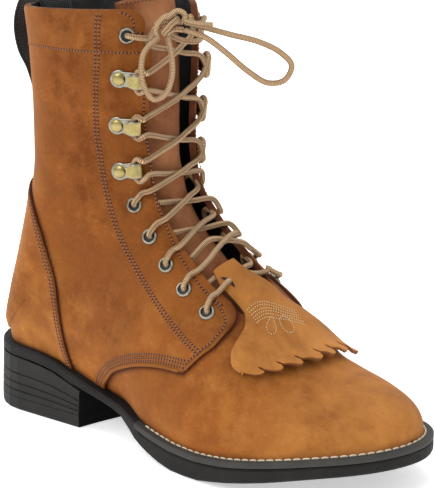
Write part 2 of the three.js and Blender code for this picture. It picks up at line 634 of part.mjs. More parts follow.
// A solid through cross sections that all have the same count of points; its ends are closed to their middles
function sectionSolid(sections) {
  const ends = [sections[0], sections[sections.length - 1]].map((ring) => {
    const middle = ring.reduce((sum, p) => sum.add(p), new THREE.Vector3()).divideScalar(ring.length);
    return ring.map(() => middle.clone());
  });
  const points = [ends[0], ...sections, ends[1]].map((ring) => [...ring, ring[0]]);
  const sheet = weld([{ points, flip: false }]);
  const vertices = sheet.attributes.position.array;
  const triangles = Array.from(sheet.index.array);
  const solid = solidFrom(vertices, triangles);
  return solid.volume() < 0 ? solidFrom(vertices, triangles.reverse()) : solid;
}
// Stations along the sole, closer together at both rounded ends
function soleStations(fromX, toX, heelEnd = heelRoundness) {
  const xs = [];
  const waist = [fromX + heelEnd, toX - toeRoundness + 12];
  for (let i = 0; i < 7; i++) xs.push(fromX + heelEnd * (1 - Math.cos((Math.PI / 2) * (i / 7))));
  const spans = Math.round((waist[1] - waist[0]) / 11);
  for (let i = 0; i < spans; i++) xs.push(mix(waist[0], waist[1], i / spans));
  for (let i = 0; i <= 12; i++) xs.push(mix(waist[1], toX, Math.sin((Math.PI / 2) * (i / 12))));
  return xs;
}

const outsoleStations = () => {
  const step = [weltStart * soleLength, (weltStart + 0.02) * soleLength];
  const xs = soleStations(0, soleLength).filter((x) => Math.min(...step.map((s) => Math.abs(x - s))) > 2);
  return [...xs, ...step].sort((a, b) => a - b);
};
function makeOutsole() {
  const edgeDrop = 1.2;
  const bevel = 1.1;
  return sectionSolid(
    outsoleStations().map((x) => {
      const [middle, half] = [middleAt(x), halfAt(x, 0)];
      const [top, under] = [outsoleTop(x), soleUnder(x)];
      const waist = Math.max(0, half - bevel);
      const side = [[waist, top], [half, top - edgeDrop], [half, under + edgeDrop], [waist, under]];
      return [...side, ...side.map(([y, z]) => [-y, z]).reverse()].map(([y, z]) => new THREE.Vector3(x, middle + y, z));
    }),
  );
}

// The welt is a strip round the forepart, its top sloping out and down to the edge
function makeWelt() {
  const fromX = (weltStart + 0.022) * soleLength;
  const inset = weltLedge + leather + 1;
  const count = 22;
  const shares = Array.from({ length: count + 1 }, (_, i) => Math.sin((Math.PI / 2) * (i / count)));
  const at = (share, side, drawn) => {
    const x = mix(fromX, soleLength - drawn, share);
    return [x, middleAt(x) + side * halfAt(x, drawn)];
  };
  const section = (share, side) => {
    const [outer, inner] = [at(share, side, 0), at(share, side, inset)];
    const point = ([x, y], lift) => new THREE.Vector3(x, y, weltTop(x) + lift);
    return [
      point(outer, -weltThickness), point(outer, -weltBevel), point(inner, 0), point(inner, -weltThickness),
    ];
  };
  const round = [...shares.map((t) => section(t, -1)), ...shares.slice(0, -1).reverse().map((t) => section(t, 1))];
  return sectionSolid(round);
}

function makeInsole() {
  const inset = heelLedge + leather + insoleClearance;
  return sectionSolid(
    soleStations(inset, soleLength - inset, heelRoundness - inset).map((x) => {
      const [middle, half] = [middleAt(x), halfAt(x, inset)];
      const [top, under] = [weltTop(x) + insoleRise, Math.max(weltTop(x), outsoleTop(x)) + 2 * gap];
      return [[half, top], [half, under], [-half, under], [-half, top]].map(([y, z]) => new THREE.Vector3(x, middle + y, z));
    }),
  );
}

function heelRing(inset, zAt) {
  const count = 12;
  const xs = Array.from({ length: count + 1 }, (_, i) => {
    const t = i / count;
    return 1 - Math.cos((Math.PI / 2) * t);
  });
  const outerEnd = heelX;
  const innerEnd = heelX + breastSlant;
  const edge = (side, share) => {
    const x = mix(inset, side < 0 ? outerEnd : innerEnd, share);
    return [x, middleAt(x) + side * halfAt(x, inset)];
  };
  const lateral = xs.map((share) => edge(-1, share));
  const medial = xs.map((share) => edge(1, share)).reverse();
  const breast = [0.25, 0.5, 0.75].map((t) => [
    mix(lateral[count][0], medial[0][0], t) - breastHollow * 4 * t * (1 - t),
    mix(lateral[count][1], medial[0][1], t),
  ]);
  const ring = [...lateral, ...breast, ...medial];
  return ring
    .filter((p, i) => Math.hypot(p[0] - ring[(i + 1) % ring.length][0], p[1] - ring[(i + 1) % ring.length][1]) > 0.05)
    .map(([x, y]) => new THREE.Vector3(x, y, zAt(x)));
}
function makeHeelStack() {
  const lower = heelCapThickness + gap;
  const layers = [0, 0.17, 0.36, 0.6, 1];
  const rings = [];
  layers.forEach((share, i) => {
    const level = (offset) => (x) => mix(lower, seatUnder(x) - gap, share) + offset;
    const taper = -heelFlare * (1 - share);
    if (i === 0 || i === layers.length - 1) rings.push(heelRing(taper, level(0)));
    else {
      rings.push(heelRing(taper, level(-0.6)));
      rings.push(heelRing(taper + heelGrooveDepth, level(-0.2)));
      rings.push(heelRing(taper + heelGrooveDepth, level(0.2)));
      rings.push(heelRing(taper, level(0.6)));
    }
  });
  return stackRings(rings);
}
function makeHeelCap() {
  return stackRings([heelRing(0.6 - heelFlare, () => 0), heelRing(-heelFlare, () => 1), heelRing(-heelFlare, () => heelCapThickness)]);
}

function makeEyelet() {
  const depth = quarterLeather + leather + 0.6;
  const profile = [
    [eyeletBore, -depth], [eyeletBarrel, -depth], [eyeletBarrel, gap], [eyeletOuter, gap],
    [(eyeletOuter + eyeletBarrel) / 2, gap + eyeletRim], [eyeletBore, gap],
  ].map(([r, z]) => new THREE.Vector2(r, z));
  profile.push(profile[0].clone());
  const ring = new THREE.LatheGeometry(profile, 9);
  ring.rotateX(Math.PI / 2);
  return solidOf(ring);
}
// A speed hook: a riveted plate with a strip that turns back over the lace
function makeHook() {
  const plate = new THREE.CylinderGeometry(hookRivet + 1.3, hookRivet + 1.3, 0.8, 12);
  plate.rotateX(Math.PI / 2).translate(0, 0, gap + 0.4);
  const rivet = new THREE.CylinderGeometry(hookRivet * 0.75, hookRivet, 1.4, 12);
  rivet.rotateX(Math.PI / 2).translate(0, 0, gap + 1.3);
  const outline = [
    [0, 0], [0.79, 0], [0.97, 2.2], [1, 4.2], [0.85, 6.2], [0.6, 6.6], [0.38, 5.4],
    [0.4, 4.5], [0.6, 5.6], [0.81, 5.2], [0.91, 3.6], [0.76, 0.9], [0, 0.9],
  ];
  const strip = new THREE.Shape(outline.map(([x, z]) => new THREE.Vector2(x * hookReach, gap + z)));
  const body = new THREE.ExtrudeGeometry(strip, { depth: hookWidth, bevelEnabled: false });
  body.rotateX(Math.PI / 2).translate(0, hookWidth / 2, 0);
  return solidOf(plate).add(solidOf(rivet)).add(solidOf(body));
}

// The lace: round cord, laid from station to station over the throat's edges
// A path whose steps fall on its own points
class PointPath extends THREE.Curve {
  constructor(points) {
    super();
    this.points = points;
  }
  getPoint(t) {
    const last = this.points.length - 1;
    const i = Math.min(last - 1, Math.floor(t * last + 1e-9));
    return this.points[i].clone().lerp(this.points[i + 1], t * last - i);
  }
  getPointAt(t) {
    return this.getPoint(t);
  }
  getTangentAt(t) {
    const last = this.points.length - 1;
    const i = Math.round(t * last);
    const before = this.points[Math.max(0, i - 1)];
    const after = this.points[Math.min(last, i + 1)];
    return after.clone().sub(before).normalize();
  }
}
function laceSolid(path, steps) {
  const section = new THREE.Shape();
  section.absarc(0, 0, laceDiameter / 2, 0, Math.PI * 2, false);
  return solidOf(new THREE.ExtrudeGeometry(section, { extrudePath: path, steps, curveSegments: 4, bevelEnabled: false }));
}
const laceAlong = (points) => laceSolid(new PointPath(points), points.length - 1);
const laceCurve = (points, steps) => laceSolid(new THREE.CatmullRomCurve3(points, false, "centripetal"), steps);
// The lace's middle where it passes the throat's edge at a distance down from the collar
function laceAtEdge(side, down) {
  const out = quarterLeather + laceDiameter / 2 + laceFloat + laceOverEdge;
  return new THREE.Vector3().setFromMatrixPosition(stationFrame(side, down, 1.5, out));
}
// The lace's middle beside a station, on the throat's side of its eyelet or in the mouth of its hook
function laceAtStation(side, number, aside) {
  const station = stations.find((one) => one.side === side && one.number === number);
  const reach = (station.kind === "hook" ? hookReach : eyeletOuter) + laceDiameter / 2 + gap;
  const beside = -side * aside * (laceDiameter / 2 + gap);
  return new THREE.Vector3(reach, beside, laceDiameter / 2 + laceFloat).applyMatrix4(station.frame);
}
// The way over the throat from edge to edge: straight, or round over the kiltie where it lies there
function laceOver(near, far, side, fromDown, toDown) {
  const overKiltie = rowAtEdge(-1, mix(fromDown, toDown, 0.5)) < kiltieRows[0].row + 0.4;
  if (!overKiltie) return [near.clone().add(far).multiplyScalar(0.5)];
  return [0.32, 0.5, 0.68].map((share) => {
    const row = rowAtEdge(-1, mix(fromDown, toDown, share));
    const across = side * mix(1, -1, share) * kiltieRows[0].outer * ballWidth * 1.6;
    return frontPoint(row, across, -(kiltieFloat + kiltieThickness + laceDiameter / 2 + laceFloat));
  });
}
function makeStrand(side, from, to, fromDown, toDown, fromAside, toAside) {
  const near = laceAtEdge(side, mix(fromDown, toDown, 0.22));
  const far = laceAtEdge(-side, mix(fromDown, toDown, 0.78));
  return laceAlong([
    laceAtStation(side, from, fromAside), near, ...laceOver(near, far, side, fromDown, toDown), far,
    laceAtStation(-side, to, toAside),
  ]);
}
function makeCrossing(upper) {
  const [top, bottom] = [stationRows[upper - 1].down, stationRows[upper].down];
  return makeStrand(-1, upper, upper + 1, top, bottom, -1, 1).add(makeStrand(1, upper, upper + 1, top, bottom, -1, 1));
}
function makeLaceBar() {
  const last = stationRows.length;
  const down = stationRows[last - 1].down + laceDiameter;
  return makeStrand(-1, last, last, down, down, -1, -1);
}

// The bow: a knot before the tongue, two loops and the lace's end. Distances from the knot's middle:
// right and up across its face, out forwards, in millimetres.
const bowFace = new THREE.Vector3(0.652, -0.758, 0);
const bowRight = new THREE.Vector3(0.758, 0.652, 0);
const knotForward = 23;
const knotDrop = 8;
const knotAside = 6;
const knotMiddle = lastPoint(-1, collarRow, 1).add(new THREE.Vector3(0, 0, -knotDrop)).addScaledVector(bowFace, knotForward).addScaledVector(bowRight, -knotAside);
const nearLoop = [
  { right: -3.2, up: -6.6, out: 1 }, { right: -11, up: -14, out: 9 }, { right: -12.5, up: -22, out: 14 },
  { right: -11, up: -32, out: 16 }, { right: -6, up: -39, out: 16 }, { right: 0, up: -37, out: 15 },
  { right: 4, up: -28, out: 12 }, { right: 4, up: -17, out: 7.5 }, { right: 1.6, up: -6.6, out: 1 },
];
const farLoop = [
  { right: 10.5, up: 1.5, out: 0.5 }, { right: 21, up: -1, out: 2 }, { right: 36, up: -5, out: 3 },
  { right: 52, up: -9, out: 4 }, { right: 64, up: -15, out: 4 }, { right: 70, up: -22, out: 4 },
  { right: 66, up: -30, out: 5 }, { right: 57, up: -31.5, out: 5 }, { right: 46, up: -25, out: 6 },
  { right: 33, up: -14, out: 6 }, { right: 22.5, up: -6.5, out: 5 }, { right: 10.6, up: -2.5, out: 2 },
];
const laceEnd = [{ right: 9.8, up: 4.6, out: 3 }, { right: 15, up: 3, out: 4.5 }, { right: 21, up: 1.5, out: 6.5 }];
const onBow = ({ right, up, out }) =>
  knotMiddle.clone().addScaledVector(bowRight, right).addScaledVector(bowFace, out).add(new THREE.Vector3(0, 0, up));
function makeKnot() {
  const ball = new THREE.SphereGeometry(0.5, 10, 7);
  ball.scale(knotWidth, knotHeight, knotDepth);
  ball.applyMatrix4(new THREE.Matrix4().makeBasis(bowRight, new THREE.Vector3(0, 0, 1), bowFace).setPosition(knotMiddle));
  return solidOf(ball);
}
function makeTie(side) {
  const station = laceAtStation(side, 1, 1);
  const edge = laceAtEdge(side, stationRows[0].down - laceDiameter);
  if (side < 0) return laceAlong([station, edge]);
  return laceCurve([station, edge, onBow({ right: 4, up: -knotHeight / 2 - laceDiameter, out: -2 })], 8);
}

const finish = (color, roughness, metalness = 0) => new THREE.MeshStandardMaterial({ color, roughness, metalness });
const materials = {
  leather: finish(0xa9642c, 0.8),
  suede: finish(0x9c5c34, 0.95),
  rubber: finish(0x24241f, 0.6),
  webbing: finish(0x121212, 0.9),
  lining: finish(0x2a2725, 0.9),
  brass: finish(0x9a9468, 0.35, 1),
  lace: finish(0xc69a68, 0.9),
};

const boot = new THREE.Group();
boot.position.x = -heelLength / 2;
function addPiece(name, solid, material) {
  const mesh = new THREE.Mesh(geometryOf(solid), material);
  mesh.name = name;
  boot.add(mesh);
  return mesh;
}
addPiece("upper", makeUpper(), materials.leather);
addPiece("heel_counter", makeCounter(), materials.leather);
addPiece("back_stay", makeBackStay(), materials.leather);
addPiece("tongue", makeTongue(), materials.suede);
addPiece("kiltie", makeKiltie(), materials.leather);
addPiece("pull_loop", makePullLoop(), materials.webbing);
addPiece("outsole", makeOutsole(), materials.rubber);
addPiece("welt", makeWelt(), materials.rubber);
addPiece("insole", makeInsole(), materials.lining);
addPiece("heel_stack", makeHeelStack(), materials.rubber);
addPiece("heel_cap", makeHeelCap(), materials.rubber);
const sideName = (side) => (side < 0 ? "outer" : "inner");
for (const { kind, side, number, frame } of stations) {
  const piece = addPiece(`${kind}_${sideName(side)}_${number}`, kind === "hook" ? makeHook() : makeEyelet(), materials.brass);
  piece.applyMatrix4(frame);
}

for (let k = 1; k < stationRows.length; k++) addPiece(`lace_crossing_${k}`, makeCrossing(k), materials.lace);
addPiece("lace_bar", makeLaceBar(), materials.lace);
addPiece("lace_tie_outer", makeTie(-1), materials.lace);
addPiece("lace_tie_inner", makeTie(1), materials.lace);
addPiece("lace_knot", makeKnot(), materials.lace);
addPiece("lace_loop_outer", laceCurve(nearLoop.map(onBow), 16), materials.lace);
addPiece("lace_loop_inner", laceCurve(farLoop.map(onBow), 24), materials.lace);
addPiece("lace_end", laceCurve(laceEnd.map(onBow), 3), materials.lace);

export default boot;
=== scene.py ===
"""The right boot of a pair of men's lace-up western work boots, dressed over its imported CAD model.

A piece is laid out in millimetres from the back of the heel, and made in metres in the frame of the CAD.
"""

import bpy
import numpy as np
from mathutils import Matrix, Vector
from mathutils.bvhtree import BVHTree


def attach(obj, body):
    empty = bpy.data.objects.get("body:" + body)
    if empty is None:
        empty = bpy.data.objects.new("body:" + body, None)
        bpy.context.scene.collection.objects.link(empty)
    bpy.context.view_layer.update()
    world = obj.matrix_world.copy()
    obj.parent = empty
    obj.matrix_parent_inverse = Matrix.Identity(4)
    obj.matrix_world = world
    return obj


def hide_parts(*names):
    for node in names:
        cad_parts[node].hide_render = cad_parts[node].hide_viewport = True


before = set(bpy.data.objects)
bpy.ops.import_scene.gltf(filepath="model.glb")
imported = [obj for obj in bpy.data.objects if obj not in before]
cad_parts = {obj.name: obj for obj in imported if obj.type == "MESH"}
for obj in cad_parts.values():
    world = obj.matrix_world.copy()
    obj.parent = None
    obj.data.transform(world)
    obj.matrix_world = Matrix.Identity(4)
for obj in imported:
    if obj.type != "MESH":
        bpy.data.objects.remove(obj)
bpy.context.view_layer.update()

# The photograph's viewpoint: a long lens above the collar, on the outer side and ahead of the toe.
# The boot stands on a white sweep of paper, lit by soft boxes from the front, the toe side, behind and above.
camera = bpy.data.objects.new("camera", bpy.data.cameras.new("camera"))
bpy.context.collection.objects.link(camera)
camera.data.sensor_width = 36
camera.data.lens = 128.3
camera.data.clip_end = 20
camera.location = (0.7517, -0.7297, 0.3502)
camera.rotation_mode = "QUATERNION"
camera.rotation_quaternion = Vector((0.6345, -0.737, 0.2327)).to_track_quat("Z", "Y")
bpy.context.scene.camera = camera
bpy.context.scene.view_settings.view_transform = "Standard"


def colour(code, strength=1.0):
    """Linear colour of a printed shade such as "a9642c"."""
    parts = np.array([int(code[i : i + 2], 16) / 255 for i in (0, 2, 4)])
    linear = np.where(parts <= 0.04045, parts / 12.92, ((parts + 0.055) / 1.055) ** 2.4)
    return (*(linear * strength), 1.0)


def start_finish(name, base, roughness, **sockets):
    """A material with one surface shader, and the call that adds a node to it and joins the node's inputs."""
    material = bpy.data.materials.new(name)
    material.use_nodes = True
    tree = material.node_tree
    shader = tree.nodes["Principled BSDF"]
    shader.inputs["Base Color"].default_value = base
    shader.inputs["Roughness"].default_value = roughness
    for socket, value in sockets.items():
        shader.inputs[socket.replace("_", " ")].default_value = value

    def add(kind, inputs, out=0, **settings):
        node = tree.nodes.new("ShaderNode" + kind)
        for key, value in settings.items():
            setattr(node, key, value)
        for socket, value in inputs.items():
            if isinstance(value, bpy.types.NodeSocket):
                tree.links.new(value, node.inputs[socket])
            else:
                node.inputs[socket].default_value = value
        return node.outputs[out]

    def use(**outputs):
        for socket, output in outputs.items():
            tree.links.new(output, shader.inputs[socket.replace("_", " ")])

    return material, add, use


def make_piece(name, points, faces, finishes, of_face=None, corners=None, tint=None, smooth=True):
    """A mesh piece in metres."""
    mesh = bpy.data.meshes.new(name)
    mesh.from_pydata(np.asarray(points).tolist(), [], np.asarray(faces).tolist())
    for each in finishes:
        mesh.materials.append(each)
    mesh.polygons.foreach_set("use_smooth", np.full(len(faces), smooth))
    if of_face is not None:
        mesh.polygons.foreach_set("material_index", np.asarray(of_face, np.int32))
    if corners is not None:
        layer = mesh.uv_layers.new(name="along")
        layer.data.foreach_set("uv", np.asarray(corners, np.float32).ravel())
    if tint is not None:
        layer = mesh.color_attributes.new("tint", "FLOAT_COLOR", "POINT")
        rgba = np.ones((len(points), 4), np.float32)
        rgba[:, :3] = tint
        layer.data.foreach_set("color", rgba.ravel())
    mesh.update()
    made = bpy.data.objects.new(name, mesh)
    bpy.context.collection.objects.link(made)
    return made


def noise(add, place, scale, detail=2.0, roughness=0.5, distortion=0.0):
    """Cloudy noise at a place, or over the piece's own box where place is None."""
    inputs = {"Scale": scale, "Detail": detail, "Roughness": roughness, "Distortion": distortion}
    return add("TexNoise", inputs if place is None else {"Vector": place, **inputs})


def ramp(add, value, low, high, start=0.0, end=1.0):
    """A value from low to high, as one from start to end."""
    ends = {"From Min": low, "From Max": high, "To Min": start, "To Max": end}
    return add("MapRange", {"Value": value, **ends})


paper, add, use = start_finish(
    "paper", colour("fbfaf9"), 0.9, Emission_Color=colour("ffffff"), Emission_Strength=0.5
)
use(Roughness=ramp(add, noise(add, None, 60.0, 4.0), 0.0, 1.0, 0.86, 0.95))
run = np.concatenate([np.linspace(-4, 0.9, 12), 0.9 + 0.8 * np.sin(np.linspace(0.1, 1.57, 12)), [1.7, 1.7]])
climb = np.concatenate([np.zeros(12), 0.8 - 0.8 * np.cos(np.linspace(0.1, 1.57, 12)), [1.6, 4.0]])
away_x, away_y, reach = -0.68, 0.74, 1.4
sweep = [
    (away_x * r * reach + s * away_y, away_y * r * reach - s * away_x, z)
    for r, z in zip(run, climb) for s in (-4, 4)
]
strips = [(2 * i, 2 * i + 1, 2 * i + 3, 2 * i + 2) for i in range(len(run) - 1)]
backdrop = make_piece("backdrop", np.array(sweep) - (0, 0, 0.0002), strips, [paper])
world = bpy.data.worlds.new("studio")
world.use_nodes = True
world.node_tree.nodes["Background"].inputs["Color"].default_value = colour("fdfdff")
world.node_tree.nodes["Background"].inputs["Strength"].default_value = 0.5
bpy.context.scene.world = world
for name, place, size, watts in [
    ("key", (0.1, -1.5, 1.3), 1.0, 13.0),
    ("fill", (1.6, 0.1, 0.9), 1.3, 4.0),
    ("edge", (-1.1, -0.45, 0.9), 0.8, 5.0),
    ("overhead", (0.1, 0.1, 1.7), 1.4, 9.0),
]:
    lamp = bpy.data.objects.new(name, bpy.data.lights.new(name, "AREA"))
    bpy.context.collection.objects.link(lamp)
    lamp.data.size = size
    lamp.data.energy = watts
    lamp.location = place
    lamp.rotation_mode = "QUATERNION"
    lamp.rotation_quaternion = (Vector(place) - Vector((0.03, 0, 0.12))).to_track_quat("Z", "Y")

# The sole: a black rubber outsole, a gray rubber welt round the forefoot, a stacked rubber heel and its cap.
# The welt is sewn to the upper with a row of cream thread right in the angle under the leather.
SOLE, BALL, TALL = 300.0, 112.0, 250.0
HEEL_ROUND, TOE_ROUND = 33.6, 71


def smooth(at, values):
    """A curve through a table that never overshoots it."""
    at, values = np.array(at, float), np.array(values, float)
    slope = np.diff(values) / np.diff(at)
    before, after = slope[:-1], slope[1:]
    steady = before * after > 0
    inner = np.where(steady, 2 * before * after / np.where(steady, before + after, 1), 0)
    lean = np.concatenate([slope[:1], inner, slope[-1:]])

    def value(x):
        x = np.asarray(x, float)
        i = np.clip(np.searchsorted(at, x, side="left") - 1, 0, len(at) - 2)
        span = at[i + 1] - at[i]
        t = np.clip((x - at[i]) / span, 0, 1)
        low = (2 * t**3 - 3 * t**2 + 1) * values[i] + (t**3 - 2 * t**2 + t) * span * lean[i]
        return low + (3 * t**2 - 2 * t**3) * values[i + 1] + (t**3 - t**2) * span * lean[i + 1]

    return value


plan_at = [0, 0.12, 0.29, 0.38, 0.48, 0.57, 0.66, 0.74, 0.82, 0.9, 1]
plan_middle = smooth(plan_at, [0, 0, -0.008, -0.03, -0.06, -0.048, -0.026, -0.005, 0.032, 0.069, 0.114])
plan_half = smooth(plan_at, [0.3, 0.3, 0.288, 0.268, 0.342, 0.412, 0.462, 0.49, 0.498, 0.5, 0.5])
top_at = [0, 0.13, 0.2, 0.285, 0.35, 0.42, 0.5, 0.56, 0.59, 0.64, 0.71, 0.78, 0.9, 1]
top_share = smooth(
    top_at, [0.166, 0.161, 0.152, 0.12, 0.098, 0.083, 0.069, 0.062, 0.059, 0.058, 0.065, 0.078, 0.1, 0.111]
)


def mix(a, b, t):
    return a + (b - a) * t


def ease(t):
    t = np.clip(t, 0, 1)
    return t * t * (3 - 2 * t)


def round_end(share, power=2.0):
    return (1 - (1 - np.clip(share, 0, 1)) ** power) ** (1 / power)


def sole_half(x, inset):
    full = plan_half(x / SOLE) * BALL - inset
    heel = round_end((x - inset) / (HEEL_ROUND - inset))
    return full * heel * round_end((SOLE - inset - x) / (TOE_ROUND - inset))


def welt_top(x):
    return top_share(np.asarray(x) / SOLE) * TALL


def sole_line(inset, start, count=90):
    """The sole's outline drawn in by an inset, from x = start on the outer side round to the inner side."""
    turn = np.linspace(0, np.pi / 2, count)
    x = start + (SOLE - inset - start) * np.sin(turn)
    half = sole_half(x, inset)
    middle = plan_middle(x / SOLE) * BALL
    x = np.concatenate([x, x[::-1][1:]])
    return x, np.concatenate([middle - half, (middle + half)[::-1][1:]])


def metres(points):
    return (np.asarray(points, float) - (43, 0, 0)) / 1000


def lattice(points, closed=False):
    """Quads between the rows of a grid of points."""
    rows, across = points.shape[:2]
    i = np.arange(rows - 1)[:, None]
    j = np.arange(across if closed else across - 1)[None, :]
    k = (j + 1) % across
    quads = np.stack([i * across + j, i * across + k, (i + 1) * across + k, (i + 1) * across + j], -1)
    return points.reshape(-1, points.shape[2]), quads.reshape(-1, 4)


def blend(add, share, low, high):
    """A mix of two shades, each a printed code or another node's colour."""
    low, high = (colour(each) if isinstance(each, str) else each for each in (low, high))
    return add("Mix", {0: share, 6: low, 7: high}, out=2, data_type="RGBA")


def relief(add, height, strength, distance, over=None):
    """A bump from a height, laid over another bump if one is given."""
    under = {} if over is None else {"Normal": over}
    return add("Bump", {"Height": height, "Strength": strength, "Distance": distance, **under})


def rubber_finish(name, shade, pale, roughness, speck, **sockets):
    """Moulded rubber: fine pebbled skin, paler where it is rubbed, with a bloom of dust."""
    material, add, use = start_finish(name, colour(shade), roughness, **sockets)
    place = add("TexCoord", {}, out=3)
    bloom = noise(add, place, 45.0, 5.0, 0.6)
    use(
        Base_Color=blend(add, ramp(add, bloom, 0.35, 0.75), shade, pale),
        Roughness=ramp(add, bloom, 0.0, 1.0, roughness - 0.08, roughness + 0.1),
        Normal=relief(add, noise(add, place, speck, 3.0, 0.6), 0.25, 0.0004),
    )
    return material


sole_rubber = rubber_finish("sole_rubber", "141312", "232220", 0.72, 1500.0, Specular_IOR_Level=0.25)
welt_rubber = rubber_finish("welt_rubber", "32312e", "43423e", 0.72, 1100.0, Specular_IOR_Level=0.35)
heel_rubber = rubber_finish("heel_rubber", "171615", "292826", 0.66, 900.0, Specular_IOR_Level=0.3)
# a near-black copy of the heel rubber: painted shade for the heel's forward faces
breast_shade_rubber = rubber_finish("breast_shade_rubber", "060606", "101010", 0.85, 900.0, Specular_IOR_Level=0.1)

for name in ("outsole", "heel_cap", "heel_stack", "insole"):
    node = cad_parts[name]
    node.data.materials.clear()
    node.data.materials.append({"outsole": sole_rubber}.get(name, heel_rubber))
    # the heel's faces turned towards the toe take the near-black copy: painted shade on the heel breast
    if name in ("heel_stack", "heel_cap"):
        node.data.materials.append(breast_shade_rubber)
        for side in node.data.polygons:
            side.material_index = int(side.normal.x > 0.5)

start = 141.0
rings = []
for inset, drop in [(5.5, 0), (1.0, 0), (0.35, 0.12), (0, 0.6), (0, 2.9), (0.3, 3.4), (1.2, 3.6)]:
    x, y = sole_line(inset, start)
    rings.append(np.stack([x, y, welt_top(x) - drop], -1))
points, quads = lattice(np.array(rings))
welt = make_piece("welt_strip", metres(points), quads, [welt_rubber])
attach(welt, "root")
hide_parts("welt")


def distances(path):
    """The distance along a path at each of its points."""
    return np.concatenate([[0], np.cumsum(np.linalg.norm(np.diff(path, axis=0), axis=1))])


def unit_rows(rows):
    return rows / (np.linalg.norm(rows, axis=1, keepdims=True) + 1e-12)


def triangles(quads):
    return np.concatenate([quads[:, [0, 1, 2]], quads[:, [0, 2, 3]]])


def sew(line, normals, pitch, length, thick, lean=0.0, holes=0.0):
    """Stitches along a line: a capsule of thread each, its ends sunk, and a dark disc between each two,
    painted shade in the needle hole.
    """
    line, normals = np.asarray(line, float), np.asarray(normals, float)
    run = distances(line)
    count = max(1, int(run[-1] / pitch))
    at = (np.arange(count) + 0.5) * run[-1] / count
    take = lambda values, s: np.stack([np.interp(s, run, values[:, k]) for k in range(3)], -1)
    middle = take(line, at)
    along = unit_rows(take(line, at + 0.3) - take(line, at - 0.3))
    across = unit_rows(np.cross(take(normals, at), along))
    out = np.cross(along, across)
    turned = along * np.cos(lean) + across * np.sin(lean)
    across = np.cross(out, turned)
    rows = []
    angle = np.arange(6) * np.pi / 3
    for share, wide, high in [
        (-0.5, 0.25, -0.3), (-0.42, 0.8, -0.05), (-0.2, 1, 0.35), (0.2, 1, 0.35), (0.42, 0.8, -0.05),
        (0.5, 0.25, -0.3),
    ]:
        over = (np.sin(angle) * wide + high) * thick / 2
        rows.append(np.stack([np.full(6, share * length), np.cos(angle) * wide * thick / 2, over], -1))
    shape, quads = lattice(np.array(rows), closed=True)
    basis = np.stack([turned, across, out], 1)
    points = middle[:, None, :] + np.einsum("vk,nkd->nvd", shape, basis)
    faces = (quads[None] + np.arange(count)[:, None, None] * len(shape)).reshape(-1, 4)
    kinds = np.zeros(len(faces), int)
    points = points.reshape(-1, 3)
    if holes:
        middle = take(line, np.minimum(at + 0.5 * run[-1] / count, run[-1]))
        angle = np.arange(8) * np.pi / 4
        disc = np.stack([np.cos(angle), np.sin(angle), np.zeros(8)], -1) * holes
        disc = np.concatenate([disc + (0, 0, 0.02), disc * 0.55 + (0, 0, 0.07)])
        ring = np.array(
            [(i, (i + 1) % 8, 8 + (i + 1) % 8, 8 + i) for i in range(8)]
            + [(8, 9, 10, 11), (8, 11, 12, 15), (12, 13, 14, 15)]
        )
        basis = np.stack([along, np.cross(out, along), out], 1)
        spread = middle[:, None, :] + np.einsum("vk,nkd->nvd", disc, basis)
        more = (ring[None] + np.arange(count)[:, None, None] * len(disc)).reshape(-1, 4) + len(points)
        points = np.concatenate([points, spread.reshape(-1, 3)])
        faces = np.concatenate([faces, more])
        kinds = np.concatenate([kinds, np.ones(len(more), int)])
    return points, faces, kinds


def join(parts):
    """Several meshes as one: points, faces and anything given per face."""
    points, faces, extra = [], [], []
    total = 0
    for part in parts:
        points.append(part[0])
        faces.append(part[1] + total)
        extra.append(part[2])
        total += len(part[0])
    return np.concatenate(points), np.concatenate(faces), np.concatenate(extra)


def stitching(name, rows, thread):
    """Rows of stitches and the painted shade of their holes as one piece."""
    points, faces, kinds = join(rows)
    return make_piece(name, metres(points), faces, [thread, needle_hole_shade], kinds)


def thread_finish(name, shade, dark):
    """Waxed bonded thread, its twist as fine slanted ribs."""
    material, add, use = start_finish(name, colour(shade), 0.6, Specular_IOR_Level=0.4)
    twist = noise(add, add("TexCoord", {}, out=3), 2600.0)
    use(Base_Color=blend(add, twist, dark, shade), Normal=relief(add, twist, 0.5, 0.0003))
    return material


cream_thread = thread_finish("cream_thread", "efe3cd", "b9a888")
tan_thread = thread_finish("tan_thread", "a8714c", "6f4028")
# needle holes are dark discs: painted shade in the holes
needle_hole_shade, add, use = start_finish("needle_hole_shade", colour("2a130a"), 0.9)
use(Base_Color=blend(add, noise(add, None, 900.0), "1c0c06", "3a1c10"))

x, y = sole_line(4.3, 148.0, 160)
line = np.stack([x, y, welt_top(x) + 0.2], -1)
row = sew(line, np.tile((0.0, 0.0, 1.0), (len(line), 1)), 5.0, 4.5, 1.2, holes=0.6)
welt_stitches = stitching("welt_stitches", [row], cream_thread)
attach(welt_stitches, "root")

